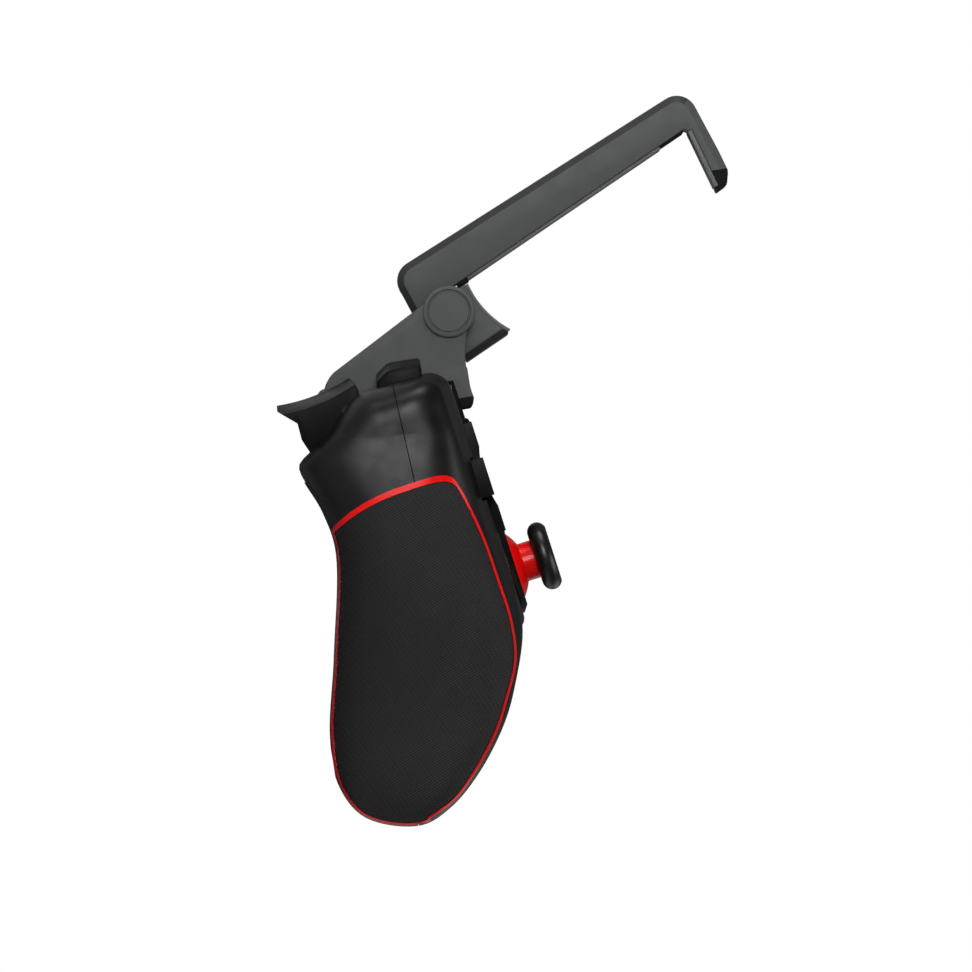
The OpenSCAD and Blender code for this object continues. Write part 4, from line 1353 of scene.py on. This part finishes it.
@dataclass
class ThumbStick:
    """Bezel, red post with its dome, and thumb cap of one stick."""

    shop: Workshop
    mould: Mould
    side: Side
    pivot: float = 8.0
    dome: float = 12.7
    dome_wall: float = 1.2
    dome_gap: float = 0.4
    dome_span: float = 60.0
    shaft: float = 1.7
    neck: float = 4.8
    fillet: float = 0.35
    lift: float = 7.0
    cap_width: float = 17.4
    cap_height: float = 4.9
    cap_dish: float = 0.75
    gimbal_pin: Span = (1.6, 4.4)
    bezel: Span = (24.0, 20.4)
    bezel_height: float = 1.7

    def place(self) -> Matrix:
        """The stick's frame at its pivot."""
        return self.mould.at_stick(self.side, -self.pivot)

    def build_bezel(self) -> None:
        """Makes the ring round the stick's opening."""
        base, rim = self.bezel[0] / 2, self.bezel[1] / 2
        mouth = self.dome + self.dome_gap
        h, top = self.pivot, self.pivot + self.bezel_height
        low, high = (math.sqrt(mouth ** 2 - level ** 2) for level in (h, top))
        ring = lathe([(0, h), (base, h), (base, h + 0.35), (base - 0.25, h + 0.6), (rim + 0.25, h + 1.5),
                      (rim - 0.1, h + 1.7), (0, top)], self.place(), 96)
        ring.take(rod(2 * low, (h - OVERLAP, top + OVERLAP), self.place(), 2 * high, 96))
        self.shop.handed("bezel_ring", ring, "stick_bezel", self.side)

    def build_post(self) -> None:
        """Makes the shaft, the dome, the neck and the gimbal pin."""
        inside = self.dome - self.dome_wall
        start = math.degrees(math.asin(self.shaft / inside))
        foot = math.degrees(math.asin((self.neck + self.fillet) / self.dome))
        profile = [(0.0, -self.shaft), (self.shaft, -self.shaft)]
        profile += arc((0, 0), inside, 90 - start, 90 - self.dome_span, 20)
        profile += arc((0, 0), self.dome, 90 - self.dome_span, 90 - foot, 20)
        base = self.dome * math.cos(math.radians(foot))
        top = self.pivot + self.lift
        profile += arc((self.neck + self.fillet, base + self.fillet), self.fillet, 270, 180, 5)[1:]
        profile += [(self.neck, top), (0.0, top)]
        post = lathe(profile, self.place(), 80)
        wide, reach = self.gimbal_pin
        post.add(rod(wide, (-reach, reach), self.place() @ Matrix.Rotation(math.radians(90), 4, "X")))
        self.shop.handed("stick_neck", post, "stick_post", self.side, sharp=28.0)

    def build_cap(self) -> None:
        """Makes the thumb cap with its dished top."""
        base, half = self.pivot + self.lift, self.cap_height / 2
        side = self.cap_width / 2 - half
        profile = [(0.0, base), (side, base)] + arc((side, base + half), half, -84, 72, 18)
        rim = profile[-1]
        shares = (0.95, 0.9, 0.8, 0.65, 0.45, 0.25, 0.0)
        profile += [(rim[0] * k, rim[1] - self.cap_dish * (1 - k ** 2)) for k in shares]
        cap = lathe(profile, self.place(), 96)
        self.shop.handed("thumb_rest", cap, "thumb_cap", self.side)


@dataclass
class FaceControls:
    """Direction pad, action buttons and menu buttons."""

    shop: Workshop
    mould: Mould
    pad_span: float = 28.6
    pad_arm: float = 9.8
    pad_height: float = 2.2
    pad_axis: float = 5.1
    pad_dish: float = 1.5
    pad_round: float = 0.85
    pad_flange: float = 31.5
    flange_half: float = 0.4
    pad_hub: float = 0.8
    pad_socket: float = 2.3
    button_width: float = 10.6
    button_height: float = 2.0
    button_flange: float = 0.9
    button_round: float = 1.2
    button_edge: float = 1.4
    button_crown: float = 0.2
    button_foot: float = 1.2
    deck: float = 3.2
    menu_bar: Span = (9.0, 4.0)
    menu_rim: Span = (10.8, 5.8)
    menu_height: float = 0.8
    menu_round: float = 0.35
    menu_foot: float = -11.4
    menu_flange: Span = (-4.1, -3.2)

    @staticmethod
    def cross(span: float, arm: float) -> list[Point]:
        """Gives the outline of a cross.

        Args:
            span: Length over two arms.
            arm: Width of an arm.

        Returns:
            The outline.
        """
        s, a = span / 2, arm / 2
        return [(a, s), (-a, s), (-a, a), (-s, a), (-s, -a), (-a, -a), (-a, -s), (a, -s), (a, -a), (s, -a),
                (s, a), (a, a)]

    @staticmethod
    def button_places(mould: Mould) -> list[Matrix]:
        """Gives the frames of the four action buttons: north, east, south and west.

        Args:
            mould: The housing's form.

        Returns:
            The frames.
        """
        pitch, tilt = mould.button_pitch, math.cos(mould.face_tilt)
        return [mould.on_face(mould.cluster_x + pitch * x, mould.cluster_y + pitch * y * tilt)
                for x, y in ((0, 1), (1, 0), (0, -1), (-1, 0))]

    def build_pad(self) -> None:
        """Makes the dished direction pad with its flange and socket."""
        place = self.mould.at_cluster(Side.LEFT, -self.pad_axis)
        top = self.pad_axis + self.pad_height
        pad = plate(self.cross(self.pad_span, self.pad_arm), (0.0, top), place)
        above = Matrix.Translation((0, 0, top - self.pad_dish + self.pad_span))
        pad.take(ball(self.pad_span, place @ above, 160))
        pad.soften(self.pad_round, 4)
        pad.add(rod(self.pad_flange, (-self.flange_half, self.flange_half), place),
                rod(self.pad_arm, (-self.pad_hub, self.pad_axis), place))
        pad.take(ball(self.pad_socket, place))
        self.shop.piece("direction_pad", pad, "dpad", sharp=30.0)

    def build_buttons(self) -> None:
        """Makes the four action buttons."""
        r, h, low = self.button_width / 2, self.button_height, -self.deck - self.button_foot
        rim, edge, side = self.button_flange, self.button_round, h - self.button_edge
        profile = [(0.0, low), (r + rim, low), (r + rim, low + rim), (r, low + rim), (r, side)]
        profile += arc((r - edge, side), edge, 10, 78, 8)
        crown = self.button_crown
        profile += [(r * k, h - crown + crown * (1 - k ** 2)) for k in (0.72, 0.5, 0.28, 0.0)]
        for word, place in zip(("north", "east", "south", "west"), self.button_places(self.mould)):
            self.shop.piece(f"action_button_{word}", lathe(profile, place), f"button_{word}")

    def build_menu(self) -> None:
        """Makes the two menu buttons and the home button."""
        foot, (low, high) = self.menu_foot, self.menu_flange
        for side, word in ((Side.LEFT, "select"), (Side.RIGHT, "start")):
            place = self.mould.at_menu(side)
            bar = plate(pill(*self.menu_bar), (foot, self.menu_height), place)
            bar.soften(self.menu_round, 3, 50.0)
            bar.add(plate(pill(*self.menu_rim), self.menu_flange, place))
            self.shop.piece(f"{word}_bar", bar, f"{word}_button")
        profile = [(0.0, foot), (4.5, foot), (4.5, low), (5.4, low), (5.4, high), (4.5, high), (4.5, 0.35),
                   (4.38, 0.66), (4.1, 0.8), (3.6, 0.72), (2.4, 0.6), (0.0, 0.55)]
        disc = lathe(profile, self.mould.on_face(0.0, self.mould.home_y))
        self.shop.piece("home_disc", disc, "home_button")


@dataclass
class PhoneMount:
    """Saddle over the controller's top, with its hinge caps."""

    shop: Workshop
    mould: Mould
    width: float = 62.0
    cheek: float = 4.0
    bridge: float = 3.0
    strap_round: float = 0.6
    cheek_round: float = 0.5
    seat_gap: float = 0.1
    liner: float = 1.0
    front: float = 48.7
    back: float = 9.6
    front_lip: float = 15.9
    back_lip: float = 15.0
    foot: float = 2.8
    cap_width: float = 13.0
    cap_height: float = 1.2

    def seat(self) -> Blank:
        """Makes the body's middle as the saddle's liner grips it."""
        face, grow = self.mould.face_z, self.liner
        low, high = self.mould.middle_back - self.seat_gap - grow, grow / math.cos(self.mould.face_tilt)
        top = self.mould.seat_y + grow
        outline = [(top, low), (top, face(top) + high), (-FAR, face(-FAR) + high), (-FAR, low)]
        return prism(outline, (-FAR, FAR))

    def hull(self) -> list[Point]:
        """Outline of a cheek: a fan from the hinge to the saddle, with a waist along its front."""
        fan = arc(HINGE, 5.4, 62, -35.7, 18) + arc((22.6, 20.9), 9.3, -35.7, -100, 14)
        waist = arc((25.2, 81.45), 33.0, 258, 288, 12)
        back, front = self.back_lip, self.front_lip
        lips = [(back, self.back + 1), (back, self.back + 5), (front, self.front - 3),
                (front, self.front - 0.7), (front + 1.0, self.front)]
        return fan + lips + waist

    def build(self) -> None:
        """Makes the saddle, the dark foot of its front lip and its two caps."""
        half, front, back = self.width / 2, self.front_lip, self.back_lip
        top = self.mould.seat_y + self.liner + self.bridge
        outline = [(front, self.mould.face_z(front)), (front, self.front - 0.9), (front + 1.4, self.front),
                   (top, self.front), (top, self.back + 2), (top - 2, self.back), (back, self.back),
                   (back, self.mould.middle_back)]
        strap = prism(outline, (-half, half)).soften(self.strap_round, 3)
        cheek = prism(self.hull(), (half - self.cheek, half)).soften(self.cheek_round, 3)
        strap.add(cheek, cheek.mirrored())
        strap.take(self.seat(), rod(HINGE_BORE, (-FAR, FAR), crosswise(HINGE)))
        lip = box((-FAR, FAR), (front - 1, front + self.foot), (self.front - 5, FAR))
        self.shop.piece("saddle_foot", strap.part(lip), "saddle", "liner_black", stands_in=False)
        self.shop.piece("saddle_bridge", strap, "saddle")
        r, h = self.cap_width / 2, self.cap_height
        profile = [(0.0, 0.0), (r, 0.0), (r, h - 0.35), (r - 0.12, h - 0.1), (r - 0.4, h), (5.6, h),
                   (5.5, h - 0.1), (5.42, h - 0.35), (5.1, h - 0.35), (5.02, h - 0.1), (4.9, h), (0.0, h)]
        for side in Side:
            disc = lathe(profile, crosswise(HINGE, half), 96).on(side)
            self.shop.handed("hinge_disc", disc, "hinge_cap", side)


@dataclass
class PhoneClamp:
    """Lower jaw with its tongue, sliding arm with its hook, and their pads."""

    shop: Workshop
    lean: float = 65.0
    half: float = 26.5
    pad_half: float = 25.9
    height: float = 75.3
    front: float = -4.7
    depths: Span = (11.3, 8.9)
    start: float = -7.9
    heel: float = 0.6
    corner: float = 5.2
    hook: Span = (4.8, 17.9)
    hook_lean: float = 8.5
    chamfer: float = 1.8
    pad: Span = (8.6, 67.0)
    pad_rise: float = 0.8
    hook_pad: Span = (1.0, 16.6)
    hook_pad_rise: float = 1.0
    # Where the hook's tip, black as painted shade, is cut off, as [y, z]
    tip_cut: Point = (65.0, 100.0)
    tongue: Point = (20.0, 44.0)
    tongue_root: float = -5.0
    tongue_depth: Span = (-12.4, -7.4)
    neck: Point = (12.0, 5.0)
    slide_gap: float = 0.3
    jaw_heel: Point = (7.2, -3.5)
    jaw_tip: Point = (9.6, 12.6)
    jaw_foot: Point = (-3.4, 13.0)
    jaw_hollow: float = 25.0
    jaw_barrel: float = 3.4
    jaw_pad: Span = (-3.2, 12.3)
    jaw_chamfer: float = 1.41
    sharp: float = 24.0
    arm_round: float = 0.22
    jaw_round: float = 0.25
    round_from: float = 28.0
    # How much painted shade darkens the chamfers of the arm and of the jaw
    arm_polish: float = 0.75
    jaw_polish: float = 0.95

    def place(self) -> Matrix:
        """The clamp's frame at the hinge: Y along the arm, Z towards the phone."""
        return Matrix.Translation((0.0, *HINGE)) @ Matrix.Rotation(math.radians(self.lean), 4, "X")

    def on_hook(self, out: float, along: float) -> Point:
        """Gives a point of the hook's side.

        Args:
            out: Distance from the hook's inner face.
            along: Distance from the arm's front along the hook.

        Returns:
            The point in the clamp's frame.
        """
        turn = math.radians(self.hook_lean)
        return (self.height + out * math.cos(turn) - along * math.sin(turn),
                self.front + out * math.sin(turn) + along * math.cos(turn))

    def side(self, inset: float) -> list[Point]:
        """Gives the side outline of the arm and its hook.

        Args:
            inset: How far the back, the lower end and the hook's outside are drawn in.

        Returns:
            The outline, from the lower end over the back and the hook to the front.
        """
        r, end, (thick, reach) = self.corner, self.height + self.hook[0], self.hook
        low = (self.start + self.heel + r, self.front - self.depths[0] + r)
        high = (end - r, self.front - self.depths[1] + r)
        outer = [(self.start + inset, self.front)] + arc(low, r - inset, 176, 271.6, 14)
        outer += arc(high, r - inset, 271.6, 364, 14)
        low, high, rise = *self.hook_pad, self.hook_pad_rise
        tip = [(thick - inset, reach * 0.5), (thick - inset, reach - 3.9),
               (thick - 0.35 - inset, reach - 3.0), (thick - 1.6 - inset, reach - 0.9),
               (thick - 2.1 - inset, reach - 0.45), (0.35, reach), (0.0, reach - 0.1), (0.0, high),
               (rise, high), (rise, low), (0.0, low), (-0.25, 0.45), (-0.8, 0.1)]
        return outer + [self.on_hook(*p) for p in tip] + [(self.height - 2.0, self.front)]

    def build_arm(self) -> None:
        """Makes the hollow arm with its hook, the hook's tip in black as painted shade, and the chamfer round
        its back.
        """
        inner = self.half - self.chamfer
        rings = [(-self.half, self.chamfer), (-inner, 0.0), (inner, 0.0), (self.half, self.chamfer)]
        place = self.place()
        arm = loft([[place @ Vector((x, *p)) for p in self.side(inset)] for x, inset in rings])
        arm.soften(self.arm_round, 3, self.round_from)
        gap, wide, low = self.slide_gap, self.tongue[0] + self.slide_gap, self.start - 1
        room = (self.tongue_depth[0] - gap, self.tongue_depth[1] + gap)
        neck = self.neck[0] + gap
        arm.take(box((-wide, wide), (low, self.tongue[1] + 1 + gap), room, place),
                 box((-neck, neck), (low, self.neck[1] + gap), (self.tongue_depth[1], 1.0), place))
        # The hook's tip is cut off and made black: painted shade where its end lies in shadow
        tip = box((-FAR, FAR), (-FAR, self.tip_cut[0]), (self.tip_cut[1], FAR))
        end = arm.part(tip)
        self.shop.piece("hook_tip", end, "clamp_arm", "liner_black", stands_in=False, sharp=self.sharp)
        beam = self.shop.piece("arm_beam", arm, "clamp_arm", sharp=self.sharp)
        # Its chamfers get painted shade
        self.shop.polish(beam, self.arm_polish)

    def build_pads(self) -> None:
        """Makes the pads on the arm, in the hook and on the jaw, and the dark strips at the arm's ends."""
        place, wide = self.place(), (-self.pad_half, self.pad_half)
        strip = box(wide, self.pad, (self.front, self.front + self.pad_rise), place).soften(0.2, 3)
        self.shop.piece("arm_strip", strip, "arm_pad")
        sunk = self.front - 0.1
        stop = box(wide, (self.pad[1] + 0.4, self.height - 1.2), (sunk, self.front + 0.55), place)
        self.shop.piece("arm_stop", stop.soften(0.15, 2), "clamp_arm", "liner_black", stands_in=False)
        foot = box(wide, (self.neck[1] + 0.4, self.pad[0] - 0.05), (sunk, self.jaw_heel[1] - 0.12), place)
        self.shop.piece("arm_foot", foot.soften(0.1, 2), "clamp_arm", "liner_black", stands_in=False)
        low, high, rise = self.hook_pad[0] + 0.05, self.hook_pad[1] - 0.05, self.hook_pad_rise - 0.06
        corners = [self.on_hook(*p) for p in ((-0.15, low), (rise, low), (rise, high), (-0.15, high))]
        lining = prism(corners, (-self.half + 0.05, self.half - 0.05), place).soften(0.15, 2)
        self.shop.piece("hook_strip", lining, "clamp_arm", "pad_grey", stands_in=False)
        under, over = (self.bow(self.jaw_hollow - depth, *self.jaw_pad) for depth in (0.0, self.pad_rise))
        cover = prism(under + over[::-1], wide, place).soften(0.15, 2)
        self.shop.piece("jaw_strip", cover, "jaw_pad")

    def jaw_centre(self) -> Vector:
        """Centre of the jaw's hollow top in the clamp's frame."""
        heel, tip = Vector(self.jaw_heel), Vector(self.jaw_tip)
        chord = tip - heel
        away = Vector((chord.y, -chord.x)).normalized()
        return (heel + tip) / 2 + away * math.sqrt(self.jaw_hollow ** 2 - chord.length_squared / 4)

    def bow(self, radius: float, low: float, high: float) -> list[Point]:
        """Gives points along the jaw's hollow.

        Args:
            radius: Radius round the hollow's centre.
            low: Distance from the hinge towards the phone at the first point.
            high: The same at the last point.

        Returns:
            The points.
        """
        centre = self.jaw_centre()
        turns = [180 - math.degrees(math.asin((q - centre.y) / radius)) for q in (low, high)]
        return arc((centre.x, centre.y), radius, turns[0], turns[1], 24)

    def build_jaw(self) -> None:
        """Makes the lower jaw with its tongue."""
        place, half, r = self.place(), self.half, self.jaw_barrel
        outline = self.bow(self.jaw_hollow, self.jaw_heel[1], self.jaw_tip[1])
        outline += [(self.jaw_tip[0] - 0.6, self.jaw_foot[1]), self.jaw_foot]
        outline += arc((0.0, 0.0), r, 194, 270, 12)
        jaw = prism(outline, (-half, half), place)
        turn, cut = Matrix.Rotation(math.radians(45), 4, "Y"), (-self.jaw_chamfer, self.jaw_chamfer)
        for side in Side:
            edge = place @ Matrix.Translation((side.value * half, 0.0, self.jaw_foot[1])) @ turn
            jaw.take(box(cut, (-FAR, FAR), cut, edge))
        jaw.soften(self.jaw_round, 3, self.round_from)
        root, (low, high) = self.tongue_root, self.tongue_depth
        jaw.add(box((-self.neck[0], self.neck[0]), (root, self.neck[1]), (high - 1, 0.0), place),
                box((-self.tongue[0], self.tongue[0]), (root, self.tongue[1]), (low, high), place))
        jaw.take(rod(HINGE_BORE, (-FAR, FAR), crosswise(HINGE)))
        block = self.shop.piece("jaw_block", jaw, "lower_jaw", sharp=self.sharp)
        # Its chamfers get painted shade
        self.shop.polish(block, self.jaw_polish)


@dataclass(frozen=True)
class Lamp:
    """A square soft lamp, in metres and watts."""

    name: str
    where: tuple[float, float, float]
    size: float
    watts: float


@dataclass
class Studio:
    """Floor, light and camera, in metres."""

    focal: float = 1000.0
    sensor: float = 36.0
    sight: float = 100.0
    frame_width: float = 0.243
    target: tuple[float, float, float] = (-0.055, -0.0041, 0.0486)
    lean: Point = (0.987, 0.160)
    floor_half: float = 6.0
    floor_z: float = -0.0002
    paper: Colour = (0.86, 0.86, 0.86)
    paper_roughness: float = 0.9
    glow: float = 1.05
    glow_share: float = 0.95
    world: float = 0.11
    aim: tuple[float, float, float] = (0.0, 0.0, 0.04)
    lamps: tuple[Lamp, ...] = (
        Lamp("key", (-1.2, 0.42, 0.12), 0.5, 10.4), Lamp("top", (-0.3, 1.2, 0.3), 0.6, 6.5),
        Lamp("front", (-0.25, -0.3, 1.2), 0.8, 6.0), Lamp("back", (0.9, -0.9, 0.5), 0.8, 1.5))

    def build(self) -> None:
        """Sets the floor, the lights, the world and the camera."""
        self.floor()
        self.lights()
        self.camera()

    def floor(self) -> None:
        """Makes the pale floor that keeps a soft shadow."""
        form = bmesh.new()
        bmesh.ops.create_grid(form, x_segments=1, y_segments=1, size=self.floor_half)
        data = bpy.data.meshes.new("floor")
        form.to_mesh(data)
        form.free()
        floor = placed("floor", data)
        floor.location.z = self.floor_z
        bench = NodeBench("floor_paper")
        bench.shader.inputs["Base Color"].default_value = (*self.paper, 1.0)
        bench.shader.inputs["Roughness"].default_value = self.paper_roughness
        glow = bench.add("ShaderNodeEmission")
        glow.inputs["Strength"].default_value = self.glow
        path = bench.add("ShaderNodeLightPath")
        seen = bench.add("ShaderNodeMath", operation="MULTIPLY")
        seen.inputs[1].default_value = self.glow_share
        bench.link(path.outputs["Is Camera Ray"], seen.inputs[0])
        mix = bench.add("ShaderNodeMixShader")
        bench.link(seen.outputs["Value"], mix.inputs[0])
        bench.link(bench.shader.outputs["BSDF"], mix.inputs[1])
        bench.link(glow.outputs["Emission"], mix.inputs[2])
        bench.link(mix.outputs["Shader"], bench.tree.nodes["Material Output"].inputs["Surface"])
        data.materials.append(bench.material)
        floor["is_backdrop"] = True

    def lights(self) -> None:
        """Sets the soft lamps and a plain world that only the camera sees as white."""
        world = bpy.data.worlds.new("studio")
        bpy.context.scene.world = world
        world.use_nodes = True
        tree = world.node_tree
        back = tree.nodes["Background"]
        path = tree.nodes.new("ShaderNodeLightPath")
        seen = tree.nodes.new("ShaderNodeMapRange")
        seen.inputs["To Min"].default_value = self.world
        seen.inputs["To Max"].default_value = 1.0
        tree.links.new(path.outputs["Is Camera Ray"], seen.inputs["Value"])
        tree.links.new(seen.outputs["Result"], back.inputs["Strength"])
        back.inputs["Color"].default_value = (1.0, 1.0, 1.0, 1.0)
        for lamp in self.lamps:
            light = bpy.data.lights.new(lamp.name, "AREA")
            light.size = lamp.size
            light.energy = lamp.watts
            thing = placed(lamp.name, light)
            thing.location = lamp.where
            aim = Vector(self.aim) - Vector(lamp.where)
            thing.rotation_euler = aim.to_track_quat("-Z", "Y").to_euler()

    def camera(self) -> None:
        """Sets the camera at the left hand's side, as in the photograph."""
        lens = bpy.data.cameras.new("side_view")
        lens.lens = self.focal
        lens.sensor_width = self.sensor
        lens.clip_end = self.sight
        camera = placed("side_view", lens)
        along, across = self.lean
        right, up = Vector((0.0, -across, along)).normalized(), Vector((0.0, along, across)).normalized()
        turn = Matrix((right, up, right.cross(up))).transposed().to_4x4()
        away = self.frame_width * self.focal / self.sensor
        camera.matrix_world = Matrix.Translation((self.target[0] - away, *self.target[1:])) @ turn
        bpy.context.scene.camera = camera


def main() -> None:
    """Builds the controller piece by piece and sets the studio."""
    logging.basicConfig(level=logging.INFO, format="%(name)s: %(message)s")
    bpy.context.scene.view_settings.view_transform = "Standard"
    shop = Workshop()
    mould = Mould()
    housing = Housing(shop, mould)
    housing.build_shells()
    for side in Side:
        housing.build_grips(side)
        shoulder = Shoulder(shop, side)
        shoulder.build_trigger()
        shoulder.build_bumper()
        stick = ThumbStick(shop, mould, side)
        stick.build_bezel()
        stick.build_post()
        stick.build_cap()
    controls = FaceControls(shop, mould)
    controls.build_pad()
    controls.build_buttons()
    controls.build_menu()
    PhoneMount(shop, mould).build()
    clamp = PhoneClamp(shop)
    clamp.build_arm()
    clamp.build_jaw()
    clamp.build_pads()
    Studio().build()


if __name__ == "__main__":
    main()
